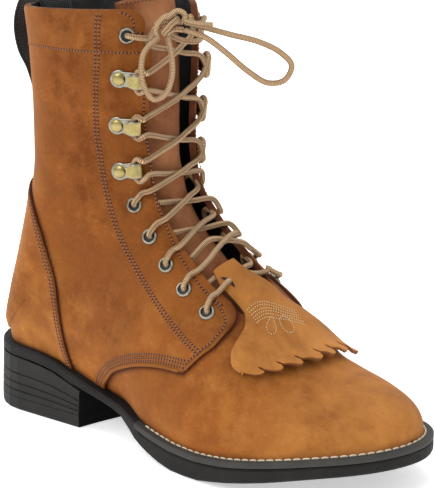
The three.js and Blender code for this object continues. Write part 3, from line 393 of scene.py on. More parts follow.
# The upper: a plain vamp and two quarters of oiled nubuck over a black lining, lasted over the foot.
# The quarters lie on the vamp with a rolled lower edge and carry the facings; the collar is stitched.
RIBS = np.array([
    # row, low end x z, front line x z, lean, half, belly, fullness, back, throat outer and inner
    (0, 0.985, 0, 0.985, 0.202, 0.105, 0.415, 0.25, 2.1, 0.25, 0.2, 0.12),
    (1, 0.91, 0, 0.908, 0.206, 0.09, 0.43, 0.25, 2.1, 0.25, 0.2, 0.12),
    (2, 0.828, 0, 0.823, 0.226, 0.075, 0.446, 0.26, 2.1, 0.25, 0.2, 0.12),
    (3, 0.748, 0, 0.758, 0.257, 0.062, 0.455, 0.28, 2.1, 0.25, 0.2, 0.12),
    (4, 0.672, 0, 0.702, 0.322, 0.055, 0.448, 0.3, 2.1, 0.25, 0.2, 0.12),
    (5, 0.59, 0, 0.652, 0.385, 0.049, 0.42, 0.32, 2.1, 0.25, 0.2, 0.125),
    (6, 0.497, 0, 0.604, 0.43, 0.04, 0.378, 0.36, 2.2, 0.25, 0.2, 0.135),
    (7, 0.397, 0, 0.562, 0.478, 0.03, 0.346, 0.4, 2.3, 0.25, 0.19, 0.145),
    (8, 0.291, 0, 0.526, 0.525, 0.022, 0.322, 0.4, 2.5, 0.25, 0.18, 0.155),
    (9, 0.172, 0, 0.501, 0.57, 0.016, 0.313, 0.4, 2.6, 0.25, 0.173, 0.165),
    (10, 0.073, 0, 0.487, 0.608, 0.01, 0.308, 0.38, 2.7, 0.25, 0.17, 0.17),
    (11, 0.0292, 0.167, 0.4785, 0.638, 0.006, 0.306, 0.38, 2.7, 0.25, 0.17, 0.17),
    (12, 0.037, 0.24, 0.4735, 0.672, 0.003, 0.306, 0.38, 2.7, 0.26, 0.17, 0.17),
    (13, 0.05, 0.304, 0.4695, 0.708, 0, 0.306, 0.38, 2.6, 0.28, 0.17, 0.17),
    (14, 0.069, 0.38, 0.467, 0.748, 0, 0.309, 0.4, 2.5, 0.3, 0.17, 0.17),
    (15, 0.088, 0.46, 0.465, 0.792, 0, 0.315, 0.42, 2.4, 0.32, 0.17, 0.17),
    (16, 0.107, 0.548, 0.465, 0.84, 0, 0.326, 0.44, 2.3, 0.34, 0.169, 0.169),
    (17, 0.121, 0.652, 0.465, 0.888, 0, 0.339, 0.46, 2.2, 0.36, 0.168, 0.168),
    (18, 0.1225, 0.768, 0.4635, 0.932, 0, 0.351, 0.48, 2.1, 0.37, 0.167, 0.167),
    (19, 0.1175, 0.888, 0.46, 0.973, 0, 0.359, 0.5, 2.1, 0.38, 0.166, 0.166),
    (20, 0.106, 0.997, 0.4535, 1.011, 0, 0.364, 0.5, 2.1, 0.38, 0.165, 0.165),
])
low_x, low_z, front_x, front_z, lean_y, rib_half, belly, fullness, back_depth, gap_outer, gap_inner = [
    smooth(RIBS[:, 0], RIBS[:, k]) for k in range(1, 12)
]
back_line = smooth(RIBS[11:, 2], RIBS[11:, 1])
HEEL_ROW, COLLAR_ROW, THROAT_ROW, THROAT_ROUND = 11, 20, 4.35, 0.55
LEDGE, HEEL_LEDGE = 4.4, 8
QUARTER, SKIN, UNDERLAP = 1.8, 2.2, 4.0


def last_half(row, up, x, z):
    ledge = mix(HEEL_LEDGE, LEDGE, ease((x / SOLE - 0.3) / 0.3))
    widest = rib_half(row) * BALL
    foot = np.where(row <= HEEL_ROW, plan_half(x / SOLE) * BALL - ledge, widest)
    toward = np.minimum(1, up / belly(row))
    body = mix(foot, widest, 1 - (1 - toward) ** 2)
    over = np.maximum(0, (up - belly(row)) / (1 - belly(row)))
    arch = np.maximum(0, 1 - over ** fullness(row)) ** (1 / 2.1)
    slip = np.where(row > HEEL_ROW, low_x(row) - back_line(low_z(row)), 0)
    back = (back_line(z / TALL) + slip * (1 - ease(up))) * SOLE
    heel_end = round_end((x - back) / (back_depth(row) * BALL))
    toe_end = round_end((RIBS[0, 1] * SOLE - low_x(row) * SOLE) / (TOE_ROUND - LEDGE))
    return np.where((row >= HEEL_ROW) & (up <= 0), 0, body * arch * heel_end * toe_end)


def last_point(side, row, up):
    """A point of the last: row from toe to collar, up from the sole or back seam to the front line."""
    row, up = np.broadcast_arrays(np.asarray(row, float), np.asarray(up, float))
    lowest = low_x(row) * SOLE
    sole_z = welt_top(lowest) + 0.3
    start_z = np.where(row <= HEEL_ROW, sole_z, low_z(row) * TALL)
    cap = np.where(row < 3, round_end((RIBS[0, 1] * SOLE - lowest) / 42, 2.2), 1)
    x = mix(lowest, front_x(row) * SOLE, up)
    z = mix(start_z, mix(sole_z, front_z(row) * TALL, cap), up)
    rise = 4.5 * ease((row - 13) / 7) * ease(up) if side > 0 else 0
    lean = lean_y(row) * BALL
    middle = mix(np.where(row <= HEEL_ROW, plan_middle(lowest / SOLE) * BALL, lean), lean, ease(up))
    return np.stack([x, middle + side * last_half(row, up, x, z), z + rise], -1)


def throat_up(row, side):
    """How far up a rib the throat's edge lies: 1 below the throat, where the halves meet."""
    row = np.asarray(row, float)
    opening = (row - THROAT_ROW) / THROAT_ROUND
    want = (gap_outer if side < 0 else gap_inner)(row) * BALL * round_end(opening)
    low, high = belly(row), np.ones_like(row)
    for _ in range(30):
        half = (low + high) / 2
        x = mix(low_x(row), front_x(row), half) * SOLE
        wide = last_half(row, half, x, low_z(row) * TALL + HEEL_ROUND) > want
        low, high = np.where(wide, half, low), np.where(wide, high, half)
    return np.where(opening <= 0, 1, high)


def weld(points, faces):
    """Joins points that coincide, and drops the faces that vanish."""
    _, first, same = np.unique(np.round(points[:, :3], 3), axis=0, return_index=True, return_inverse=True)
    faces = same.ravel()[faces]
    flat = (faces[:, 0] == faces[:, 1]) | (faces[:, 1] == faces[:, 2]) | (faces[:, 2] == faces[:, 0])
    return points[first], faces[~flat]


def normals_of(points, faces):
    a, b, c = points[faces[:, 0]], points[faces[:, 1]], points[faces[:, 2]]
    square = np.cross(b - a, c - a)
    total = np.zeros_like(points)
    for k in range(3):
        np.add.at(total, faces[:, k], square)
    return unit_rows(total)


def last_sheet(rows, steps):
    """The last's skin as triangles, both halves joined, open at the sole, throat and collar."""
    share = (1 - np.cos(np.pi * np.arange(steps + 1) / steps)) / 2
    sheets = []
    for side in (-1, 1):
        grid = last_point(side, rows[:, None], throat_up(rows, side)[:, None] * share[None, :])
        points, quads = lattice(grid)
        faces = triangles(quads)
        sheets.append((points, faces if side < 0 else faces[:, ::-1], np.zeros(len(faces))))
    points, faces, _ = join(sheets)
    return weld(points, faces)


def trim(points, faces, value):
    """The part of a triangle mesh where value is above zero. Its points may carry more columns."""
    above = value > 0
    count = above[faces].sum(1)
    fresh = [faces[count == 3]]
    pairs, quads = [], []
    base = len(points)
    for wanted in (1, 2):
        some = faces[count == wanted]
        alone = above[some] if wanted == 1 else ~above[some]
        turn = alone.argmax(1)
        some = some[np.arange(len(some))[:, None], (turn[:, None] + np.arange(3)) % 3]
        first = base + sum(len(p) for p in pairs)
        pairs += [some[:, [0, 1]], some[:, [0, 2]]]
        ab = first + np.arange(len(some))
        ac = ab + len(some)
        if wanted == 1:
            fresh.append(np.stack([some[:, 0], ab, ac], -1))
        else:
            fresh += [np.stack([ab, some[:, 1], some[:, 2]], -1), np.stack([ab, some[:, 2], ac], -1)]
    pairs = np.sort(np.concatenate(pairs), axis=1)
    single, same = np.unique(pairs, axis=0, return_inverse=True)
    t = (value[single[:, 0]] / (value[single[:, 0]] - value[single[:, 1]]))[:, None]
    points = np.concatenate([points, points[single[:, 0]] * (1 - t) + points[single[:, 1]] * t])
    faces = np.concatenate(fresh)
    made = faces >= base
    faces[made] = base + same.ravel()[faces[made] - base]
    used, faces = np.unique(faces, return_inverse=True)
    return points[used], faces.reshape(-1, 3)


def curve_through(points, step):
    """A smooth curve through points, as closely spaced points of its own."""
    points = np.asarray(points, float)
    padded = np.concatenate([[2 * points[0] - points[1]], points, [2 * points[-1] - points[-2]]])
    made = []
    for i in range(len(points) - 1):
        p = padded[i : i + 4]
        knots = np.concatenate([[0], np.cumsum(np.sqrt(np.linalg.norm(np.diff(p, axis=0), axis=1)) + 1e-9)])
        many = max(2, int(np.linalg.norm(p[2] - p[1]) / step) + 1)
        t = np.linspace(knots[1], knots[2], many, endpoint=i == len(points) - 2)[:, None]
        a = [
            ((knots[k + 1] - t) * p[k] + (t - knots[k]) * p[k + 1]) / (knots[k + 1] - knots[k])
            for k in range(3)
        ]
        b = [
            ((knots[k + 2] - t) * a[k] + (t - knots[k]) * a[k + 1]) / (knots[k + 2] - knots[k])
            for k in range(2)
        ]
        made.append(((knots[2] - t) * b[0] + (t - knots[1]) * b[1]) / (knots[2] - knots[1]))
    return np.concatenate(made)


def side_line(shares, step=2.0):
    return curve_through(np.array(shares) * (SOLE, TALL), step)


def depth_inside(outline, points):
    """Distance inside a closed side-view outline, negative outside it."""
    xz = points[:, [0, 2]]
    near = np.full(len(xz), 1e9)
    inside = np.zeros(len(xz), bool)
    for a, b in zip(outline, np.roll(outline, -1, axis=0)):
        d = b - a
        t = np.clip(((xz - a) @ d) / (d @ d + 1e-12), 0, 1)
        near = np.minimum(near, np.hypot(*(xz - a - t[:, None] * d).T))
        if a[1] != b[1]:
            crosses = (a[1] > xz[:, 1]) != (b[1] > xz[:, 1])
            inside ^= crosses & (xz[:, 0] < a[0] + (xz[:, 1] - a[1]) * d[0] / d[1])
    return np.where(inside, near, -near)


def open_edges(faces):
    edges = np.concatenate([faces[:, [0, 1]], faces[:, [1, 2]], faces[:, [2, 0]]])
    key = edges[:, 0].astype(np.int64) * 10**7 + edges[:, 1]
    back = edges[:, 1].astype(np.int64) * 10**7 + edges[:, 0]
    return edges[~np.isin(key, back)]


def panel(name, points, faces, normals, top, bottom, soften, tint, finish):
    """A leather piece: its face at one height over a sheet's points, and a cut edge down to another."""
    rim = open_edges(faces)
    height = np.full(len(points), float(top))
    height[np.unique(rim)] -= soften
    face = points + normals * height[:, None]
    ends = rim.ravel()
    low = points + normals * bottom
    k = np.arange(len(rim)) * 2 + len(points)
    m = k + len(ends)
    walls = np.concatenate([np.stack([k + 1, k, m], -1), np.stack([k + 1, m, m + 1], -1)])
    kinds = np.concatenate([np.zeros(len(faces), int), np.ones(len(walls), int)])
    solid, faces = np.concatenate([face, face[ends], low[ends]]), np.concatenate([faces, walls])
    tint = tint[np.concatenate([np.arange(len(points)), ends, ends])]
    return make_piece(name, metres(solid), faces, [finish, cut_edge], kinds, tint=tint)


def nubuck_finish(name, mid, dark, light, red):
    """Oiled nubuck: clouded browns, nap, pores and pale scuffs, with the burnish and the painted light and
    shade that the tint asks for.
    """
    material, add, use = start_finish(
        name, colour(mid), 0.74, Specular_IOR_Level=0.15, Sheen_Weight=0.03, Sheen_Roughness=0.45,
        Sheen_Tint=colour("f0c9a0")
    )
    reach = lambda value, low, high, to=1.0: ramp(add, value, low, high, 0.0, to)
    times = lambda a, b: add("Math", {0: a, 1: b}, operation="MULTIPLY")
    place = add("TexCoord", {}, out=3)
    cloud = noise(add, place, 17.0, 5.0, 0.62, 0.4)
    mottle = noise(add, place, 75.0, 6.0, 0.68)
    nap = noise(add, place, 620.0, 4.0, 0.7)
    pores = add("TexVoronoi", {"Vector": place, "Scale": 900.0})
    drawn = add("Mapping", {"Vector": place, "Rotation": (0.3, 0.9, 0.4), "Scale": (30.0, 8.0, 110.0)})
    scratch = noise(add, drawn, 1.6, distortion=0.3)
    scuff = times(reach(scratch, 0.5, 0.515), reach(scratch, 0.53, 0.515))
    # the tint's red mixes in burnished edges and painted shade beside and under edges, its green painted
    # highlights and paler leather, its blue darker leather and painted shade
    paint = add("Attribute", {}, attribute_name="tint")
    burnish_and_painted_shade, pale, deep = add("SeparateColor", {"Color": paint}).node.outputs[:3]
    base = blend(add, reach(cloud, 0.3, 0.66), dark, mid)
    for share, shade in [
        (reach(mottle, 0.44, 0.76, 0.4), light), (times(pale, reach(cloud, 0.2, 0.7)), light),
        (times(deep, reach(mottle, 0.25, 0.6)), dark), (reach(nap, 0.52, 0.8, 0.16), light),
        (reach(nap, 0.48, 0.2, 0.22), dark), (times(scuff, reach(cloud, 0.52, 0.68, 0.22)), light),
        (burnish_and_painted_shade, red),
    ]:
        base = blend(add, share, base, shade)
    bumps = relief(add, nap, 0.22, 0.0005, relief(add, pores, 0.1, 0.0003))
    use(
        Base_Color=base, Roughness=ramp(add, mottle, 0.3, 0.7, 0.62, 0.84),
        Normal=relief(add, mottle, 0.16, 0.0012, bumps)
    )
    return material


nubuck = nubuck_finish("nubuck", "9d5a1f", "6d390d", "cf8f4a", "471c08")
cut_edge = nubuck_finish("cut_edge", "6e3f22", "4c2713", "96623c", "2c130a")
lining_cloth, add, use = start_finish("lining_cloth", colour("151413"), 0.42, Specular_IOR_Level=0.45)
place = add("TexCoord", {}, out=3)
weave, folds = noise(add, place, 1200.0), noise(add, place, 55.0, 3.0)
use(
    Base_Color=blend(add, folds, "0d0c0c", "23211f"),
    Normal=relief(add, folds, 0.5, 0.003, relief(add, weave, 0.3, 0.0003)),
)

quarter_low = [
    (0.342, 0.06), (0.338, 0.105), (0.371, 0.147), (0.395, 0.169), (0.435, 0.192), (0.471, 0.208),
    (0.512, 0.22), (0.553, 0.226), (0.602, 0.227)
]
quarter_front = [
    (0.602, 0.227), (0.619, 0.252), (0.635, 0.275), (0.648, 0.29), (0.656, 0.309), (0.66, 0.326),
    (0.658, 0.343), (0.648, 0.359), (0.633, 0.374), (0.619, 0.384)
]
low_line, front_edge = side_line(quarter_low), side_line(quarter_front)
quarter_outline = np.concatenate(
    [low_line, front_edge[1:], [(front_edge[-1][0], 320), (-40, 320), (-40, 4)]]
)
counter_line = side_line(
    [
        (0.11, 0.585), (0.15, 0.562), (0.184, 0.513), (0.2, 0.473), (0.22, 0.408), (0.236, 0.358),
        (0.243, 0.31), (0.246, 0.261), (0.249, 0.198), (0.253, 0.148), (0.258, 0.09)
    ]
)
counter_outline = np.concatenate(
    [counter_line, [(counter_line[-1][0], 4), (-40, 4), (-40, counter_line[0][1])]]
)
corner = last_point(-1, COLLAR_ROW, throat_up(COLLAR_ROW, -1))[[0, 2]]
turn = np.linspace(np.pi / 2, 0, 14)
hub = corner - (10, 9.5)
quarter_turn = np.stack([np.cos(turn), np.sin(turn)], -1)
collar_outline = np.concatenate(
    [
        [(-60, hub[1] + 10)], hub + 10 * quarter_turn,
        [(hub[0] + 10, hub[1] - 12), (400, hub[1] - 12), (400, -60), (-60, -60)]
    ]
)

# soft wear creases: a line in the side view, its depth and half width in millimetres; negative is a ridge
creases = [
    ([(0.2, 0.5), (0.27, 0.44), (0.36, 0.42), (0.44, 0.45)], 0.9, 6.0),
    ([(0.18, 0.43), (0.26, 0.37), (0.35, 0.345), (0.45, 0.37)], -0.6, 6.5),
    ([(0.3, 0.3), (0.38, 0.285), (0.46, 0.3), (0.52, 0.34)], 0.7, 7.0),
    ([(0.15, 0.6), (0.24, 0.56), (0.34, 0.57)], 0.7, 7.0),
    ([(0.17, 0.76), (0.25, 0.73), (0.33, 0.755)], 0.6, 9.0),
    ([(0.6, 0.2), (0.66, 0.19), (0.73, 0.2), (0.78, 0.235)], 0.6, 5.0),
    ([(0.66, 0.14), (0.73, 0.15), (0.8, 0.19)], 0.5, 5.5),
    ([(0.43, 0.13), (0.5, 0.15), (0.56, 0.16)], 0.6, 6.0),
]


def crease_depth(points):
    total = np.zeros(len(points))
    xz = points[:, [0, 2]]
    for shares, deep, wide in creases:
        line = side_line(shares, 3.0)
        away = np.full(len(xz), 1e9)
        at = np.zeros(len(xz))
        for i, (a, b) in enumerate(zip(line[:-1], line[1:])):
            d = b - a
            t = np.clip(((xz - a) @ d) / (d @ d), 0, 1)
            far = np.hypot(*(xz - a - t[:, None] * d).T)
            at = np.where(far < away, (i + t) / (len(line) - 1), at)
            away = np.minimum(away, far)
        total += deep * np.exp(-((away / wide) ** 2)) * np.sin(np.pi * np.clip(at, 0.02, 0.98)) ** 0.7
    return total


toe_rows = np.array(
    [0, 0.008, 0.025, 0.05, 0.08, 0.12, 0.17, 0.23, 0.3, 0.38, 0.46, 0.55, 0.65, 0.75, 0.85, 0.95]
)
rows = np.concatenate(
    [
        toe_rows, np.arange(1.05, 4.3, 0.09), [4.33],
        THROAT_ROW + THROAT_ROUND * np.array([0.01, 0.04, 0.1, 0.18, 0.28, 0.4, 0.55, 0.7, 0.85, 1]),
        np.arange(4.98, 10.95, 0.075), np.arange(11, 20.001, 0.075)
    ]
)
skin, skin_faces = last_sheet(rows, 96)
skin_normals = normals_of(skin, skin_faces)
inside_collar = depth_inside(collar_outline, skin)
inside_quarter = depth_inside(quarter_outline, skin)
carried = np.concatenate([skin, skin_normals, inside_quarter[:, None], inside_collar[:, None]], axis=1)


def leather_tint(points, edge):
    """Red for the edge given and a band along the welt; green for painted highlights and a paler collar top;
    blue for darker leather and painted shade.
    """
    x, y, z = points.T
    sole_edge = np.exp(-(((z - welt_top(np.clip(x, 0, SOLE)) - 0.3) / 2.2) ** 2)) * 0.4
    # painted highlights: paler towards the toe's tip and along the back edge of the shaft, where the light
    # falls
    pale = 0.65 * ease((x - 205) / 85) + 0.6 * ease((30 - (x - back_line(z / TALL) * SOLE)) / 26) * (z > 38)
    # the collar top is a little paler
    pale = np.maximum(pale, 0.25 * ease((z - 215) / 20))
    # darker up the shaft
    dark = 0.75 * ease((z - 55) / 60) * ease((x - 40) / 50) + 0.3 * ease((z - 90) / 60)
    # painted shade low on the waist, between heel and ball
    dark += 0.55 * ease((200 - x) / 60) * ease((78 - z) / 30) * ease((x - 100) / 25)
    return np.clip(np.stack([np.maximum(edge, sole_edge), pale, dark], -1), 0, 1)


def cut_skin(value):
    """The last's skin where value is above zero: points, normals, depth in the quarters, value, faces."""
    points, faces = trim(np.concatenate([carried, value[:, None]], axis=1), skin_faces, value)
    return points[:, :3], points[:, 3:6], points[:, 6], points[:, 8], faces


xyz, up, deep, _, faces = cut_skin(UNDERLAP - inside_quarter)
# painted shadow: the vamp darkens in a band under and just below the quarters' rolled edge
tint = leather_tint(xyz, 0.95 * np.exp(-((np.minimum(0, deep + 0.6) / 1.5) ** 2)))
vamp = panel("vamp", xyz - up * crease_depth(xyz)[:, None], faces, up, 0, -SKIN, 0.0, tint, nubuck)
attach(vamp, "root")
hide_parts("upper")

xyz, up, deep, _, faces = cut_skin(np.minimum(inside_quarter, inside_collar))
beside = np.minimum(0, depth_inside(counter_outline, xyz))
# red on the quarters: burnish along their own edge, and painted shadow just beside the counter's edge
edge = np.maximum(0.55 * np.exp(-((deep / 1.6) ** 2)), 0.95 * np.exp(-((beside / 1.5) ** 2)))
base = xyz - up * crease_depth(xyz)[:, None]
quarters = panel("quarters", base, faces, up, QUARTER, -SKIN, 0.6, leather_tint(xyz, edge), nubuck)
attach(quarters, "root")
quarter_tree = BVHTree.FromPolygons((base + up * QUARTER).tolist(), faces.tolist())

coarse, coarse_faces = last_sheet(rows[::2], 48)
coarse_up = normals_of(coarse, coarse_faces)
both = np.concatenate([coarse, coarse_up], axis=1)
both, coarse_faces = trim(both, coarse_faces, depth_inside(collar_outline, both))
lining = make_piece(
    "lining", metres(both[:, :3] - both[:, 3:6] * (SKIN + 0.05)), coarse_faces[:, ::-1], [lining_cloth]
)
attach(lining, "root")


def on_side(tree, side, line):
    """Where points of the side view fall on a piece, with the outward normals there."""
    found, facing = [], []
    for x, z in line:
        place, normal, _, _ = tree.ray_cast(Vector((x, side * 200, z)), Vector((0, -side, 0)))
        if place is not None:
            found.append(place)
            facing.append(normal if normal.y * side > 0 else -normal)
    return np.array(found), np.array(facing)


def shifted(line, by):
    """A side-view line moved square to itself."""
    way = unit_rows(np.gradient(line, axis=0))
    return line + by * np.stack([-way[:, 1], way[:, 0]], -1)


def tube(path, radius, sides=12):
    """A round cord along a path: points, quads, and each corner's distance and share of the way round."""
    path = np.asarray(path, float)
    way = unit_rows(np.gradient(path, axis=0))
    side = np.cross(way[0], (0.12, 0.2, 0.97))
    sides_of = []
    for step in way:
        side = side - step * (side @ step)
        side = side / (np.linalg.norm(side) + 1e-12)
        sides_of.append(side)
    first = np.array(sides_of)
    second = np.cross(way, first)
    radius = np.broadcast_to(radius, len(path)).copy()
    radius[0] = radius[-1] = 0.02
    angle = np.arange(sides) * 2 * np.pi / sides
    ring = first[:, None] * np.cos(angle)[None, :, None] + second[:, None] * np.sin(angle)[None, :, None]
    points, quads = lattice(path[:, None] + ring * radius[:, None, None], closed=True)
    run = distances(path) / 1000
    i, j = np.divmod(np.arange(len(quads)), sides)
    u = np.stack([run[i], run[i], run[i + 1], run[i + 1]], -1)
    v = np.stack([j, j + 1, j + 1, j], -1) / sides
    return points, quads, np.stack([u, v], -1)


facing_row = [
    (0.371, 1.002), (0.369, 0.962), (0.366, 0.895), (0.36, 0.838), (0.356, 0.78), (0.353, 0.722),
    (0.356, 0.675), (0.36, 0.621), (0.369, 0.57), (0.382, 0.52), (0.408, 0.472), (0.449, 0.417),
    (0.491, 0.371), (0.541, 0.329), (0.589, 0.295), (0.627, 0.275)
]
throat_row = [
    (0.445, 0.955), (0.439, 0.897), (0.439, 0.829), (0.436, 0.76), (0.441, 0.692), (0.447, 0.63),
    (0.458, 0.578), (0.483, 0.527), (0.515, 0.474), (0.553, 0.431), (0.592, 0.393), (0.629, 0.37)
]
collar_row = [(0.12, 0.905), (0.188, 0.913), (0.3, 0.913), (0.434, 0.913)]
corner_row = np.concatenate(
    [hub + 7.4 * quarter_turn, [(hub[0] + 7.4, hub[1] - 3), (0.445 * SOLE, 0.955 * TALL)]]
)
# each row of stitches: its line, pitch, length, thickness, lean and the size of its holes
seams = [(shifted(low_line, by)[4:], 2.05, 1.45, 0.85, 0.12, 0.72) for by in (3.1, 5.0, 6.9)]
seams.append((shifted(front_edge, 2.6)[2:], 2.1, 1.5, 0.8, 0.12, 0.7))
seams += [(shifted(side_line(facing_row), by), 2.2, 1.6, 0.9, 0.4, 0.75) for by in (-1.0, 1.0)]
seams += [
    (side_line(throat_row), 2.3, 1.55, 0.8, 0.12, 0.75), (side_line(collar_row), 2.1, 1.5, 0.8, 0.12, 0.68),
    (curve_through(corner_row, 1.5), 2.2, 1.55, 0.8, 0.12, 0.72),
]
beads, sewn = [], []
for side in (-1, 1):
    for line, by, sunk, thick in [(low_line, 1.0, 0.35, 1.05), (front_edge[:-1], 0.6, 0.5, 0.8)]:
        found, facing = on_side(quarter_tree, side, shifted(line, by))
        beads.append(tube(curve_through(found[::2] - facing[::2] * sunk, 1.2), thick, 10))
    sewn += [sew(*on_side(quarter_tree, side, line), *sizes) for line, *sizes in seams]
points, faces, corners = join(beads)
rolled_edge = make_piece(
    "rolled_edge", metres(points), faces, [nubuck], tint=np.tile((0.3, 0.25, 0.2), (len(points), 1))
)
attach(rolled_edge, "root")
quarter_stitches = stitching("quarter_stitches", sewn, tan_thread)
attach(quarter_stitches, "root")

# The heel counter: a second layer of the same leather round the heel, its cut edge dark and sewn twice.
# A narrow stay covers the back seam above it, and black webbing makes the pull loop.
COUNTER, STAY = 3.6, 3.1
xyz, up, _, deep, faces = cut_skin(depth_inside(counter_outline, skin))
tint = leather_tint(xyz, 0.75 * np.exp(-((deep / 1.3) ** 2)))
tint[:, 1] = np.maximum(tint[:, 1], 0.3 * ease((95 - xyz[:, 2]) / 60))
heel_counter = panel("heel_counter_leather", xyz, faces, up, COUNTER, QUARTER - 0.1, 0.5, tint, nubuck)
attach(heel_counter, "root")
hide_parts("heel_counter")
counter_tree = BVHTree.FromPolygons((xyz + up * COUNTER).tolist(), faces.tolist())
sewn = []
for side in (-1, 1):
    for by in (-1.9, -4.0):
        line = shifted(counter_line, by)[6:]
        sewn.append(sew(*on_side(counter_tree, side, line), 2.2, 1.6, 0.85, 0.2, 0.68))
counter_stitches = stitching("counter_stitches", sewn, tan_thread)
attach(counter_stitches, "root")

x, y, z = skin.T
xyz, up, _, deep, faces = cut_skin(np.minimum.reduce([8.2 - np.abs(y), z - 147.5, 245.5 - z, 80 - x]))
tint = leather_tint(xyz, 0.7 * np.exp(-((deep / 1.2) ** 2)))
back_stay = panel("back_stay_leather", xyz, faces, up, STAY, QUARTER - 0.1, 0.5, tint, nubuck)
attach(back_stay, "root")
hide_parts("back_stay")

webbing, add, use = start_finish(
    "webbing", colour("191817"), 0.78, Specular_IOR_Level=0.3, Sheen_Weight=0.2
)
way = add("UVMap", {}, uv_map="along")
rows_of, cords_of = [
    add(
        "TexWave",
        {"Vector": add("Mapping", {"Vector": way, "Scale": scale}), "Scale": count, "Distortion": 0.0},
        bands_direction=direction
    )
    for scale, count, direction in [((1.0, 0.0, 0.0), 260.0, "X"), ((0.0, 1.0, 0.0), 210.0, "Y")]
]
woven = add("Math", {0: rows_of, 1: cords_of}, operation="MULTIPLY")
use(Base_Color=blend(add, woven, "0d0c0c", "2b2927"), Normal=relief(add, woven, 0.8, 0.0006))
loop_path = [
    (0.105, 0.765), (0.0995, 0.795), (0.084, 0.838), (0.06, 0.88), (0.05, 0.93), (0.055, 0.97),
    (0.078, 1.014), (0.106, 1.02), (0.127, 1.002), (0.134, 0.96), (0.137, 0.905)
]
path = side_line(loop_path, 1.5)
way = unit_rows(np.gradient(path, axis=0))
run = distances(path)
across = np.array([-12.5, -12.2, -10, -6, -2, 2, 6, 10, 12.2, 12.5, 12.2, 10, 6, 2, -2, -6, -10, -12.2])
thick = np.array(
    [0, 0.55, 0.8, 0.8, 0.8, 0.8, 0.8, 0.8, 0.55, 0, -0.55, -0.8, -0.8, -0.8, -0.8, -0.8, -0.8, -0.55]
)
square = np.stack([-way[:, 1], way[:, 0]], -1)
xz = path[:, None, :] + square[:, None, :] * thick[None, :, None]
grid = np.stack([xz[..., 0], np.broadcast_to(across, xz.shape[:2]), xz[..., 1]], -1)
points, quads = lattice(grid, closed=True)
i, j = np.divmod(np.arange(len(quads)), len(across))
k = (j + 1) % len(across)
corners = np.stack(
    [
        np.stack([run[i], run[i], run[i + 1], run[i + 1]], -1),
        np.stack([across[j], across[k], across[k], across[j]], -1)
    ],
    -1
) / 1000
pull_loop = make_piece("pull_loop_webbing", metres(points), quads, [webbing], corners=corners)
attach(pull_loop, "root")
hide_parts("pull_loop")

# The tongue: soft reddish suede, lightly padded, set back behind the facings, its top edge stitched.
# It is sewn in under the throat and rises a little over the collar.
def front_line(row, across, depth=0.0):
    """Points of the last's front at row, across millimetres to each side of its ridge, sunk by depth."""
    t = np.arange(99) * 0.01
    made = np.zeros((len(across), 3))
    for side in (-1, 1):
        walk = last_point(side, row, 1 - t * t)
        run = distances(walk)
        mine = np.sign(across) == side if side < 0 else across >= 0
        made[mine] = np.stack([np.interp(np.abs(across[mine]), run, walk[:, k]) for k in range(3)], -1)
    inward = last_point(1, row, 0) - last_point(1, row, 1)
    inward[1] = 0
    return made + inward / np.linalg.norm(inward) * np.asarray(depth)[..., None]


suede = nubuck_finish("suede", "8f5431", "6b381f", "c08a5e", "47200f")
tongue_rows = np.concatenate([np.linspace(3.9, 8, 34), np.linspace(8.15, 20, 62)])
share = np.linspace(-1, 1, 33)
sheet = []
for row in tongue_rows:
    deep = mix(4.0, 13.0, ease((row - 3.9) / 2))
    wide = mix(20.0, 27.0, ease((row - 3.9) / 4))
    sheet.append(front_line(row, share * wide, deep + 1.5 * share**2))
top = sheet[-1]
for rise in (0.3, 0.6, 0.85, 1.0):
    sheet.append(top + np.array([-0.12, 0, 1]) * 7 * rise * (1 - 0.5 * share**2)[:, None])
grid = np.array(sheet)
points, quads = lattice(grid)
faces = triangles(quads)
up = normals_of(points, faces)
if up[:, 0].sum() < 0:
    up, faces = -up, faces[:, ::-1]
row_at, col_at = np.divmod(np.arange(len(points)), len(share))
bulge = np.sin(np.pi * col_at / (len(share) - 1))
waves = 0.5 * np.sin(row_at * 0.31 + 1.4 * np.sin(col_at * 0.16)) * bulge * (row_at > 24)
plump = 0.9 * bulge**0.5 * np.sin(np.pi * np.clip(row_at / (len(grid) - 1), 0, 1)) ** 0.3
tint = np.zeros((len(points), 3))
tint[:, 1] = 0.55 * bulge**2 * (0.6 + 0.4 * np.sin(row_at * 0.23))
# the tongue's two outermost columns on each side are darker: painted shade where they lie under the facings
tint[:, 0] = 0.35 * ((col_at < 2) | (col_at > len(share) - 3))
base = points + up * (waves + plump - 0.5)[:, None]
tongue = panel("tongue_suede", base, faces, up, 0, -2.4, 0.5, tint, suede)
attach(tongue, "root")
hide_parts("tongue")
seam = (len(grid) - 3) * len(share) + np.arange(1, len(share) - 1)
row = sew(base[seam], up[seam], 2.3, 1.8, 0.8, 0.1, 0.4)
tongue_stitches = stitching("tongue_stitches", [row], tan_thread)
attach(tongue_stitches, "root")

# The kiltie: a flap of nubuck that hangs over the lower laces, slipped under the quarters' front edges.
# Its lower edge is slit into tabs and pinked, and rows of cream stitching arch across it.
kiltie_at = [0, 0.14, 0.28, 0.4, 0.52, 0.62, 0.8, 1]
kiltie_row = smooth(kiltie_at, [6.35, 5.8, 5.25, 4.78, 4.35, 4, 3.35, 2.55])
kiltie_outer = smooth(kiltie_at, [0.165, 0.185, 0.188, 0.188, 0.26, 0.38, 0.42, 0.4])
kiltie_inner = smooth(kiltie_at, [-0.035, -0.01, 0.045, 0.095, 0.15, 0.21, 0.32, 0.4])


def kiltie_point(share, across):
    t = np.minimum(1, share)
    wide = mix(-kiltie_outer(t), kiltie_inner(t), (across + 1) / 2) * BALL
    bow = (0.95 if across < 0 else 0.4) * abs(across) ** 1.8 * max(0, 2 * t - 1)
    row = kiltie_row(t) + bow - (share - t) * 13 / 22
    point = front_line(row, np.array([wide]))[0]
    return np.array([*point, row, wide, share])


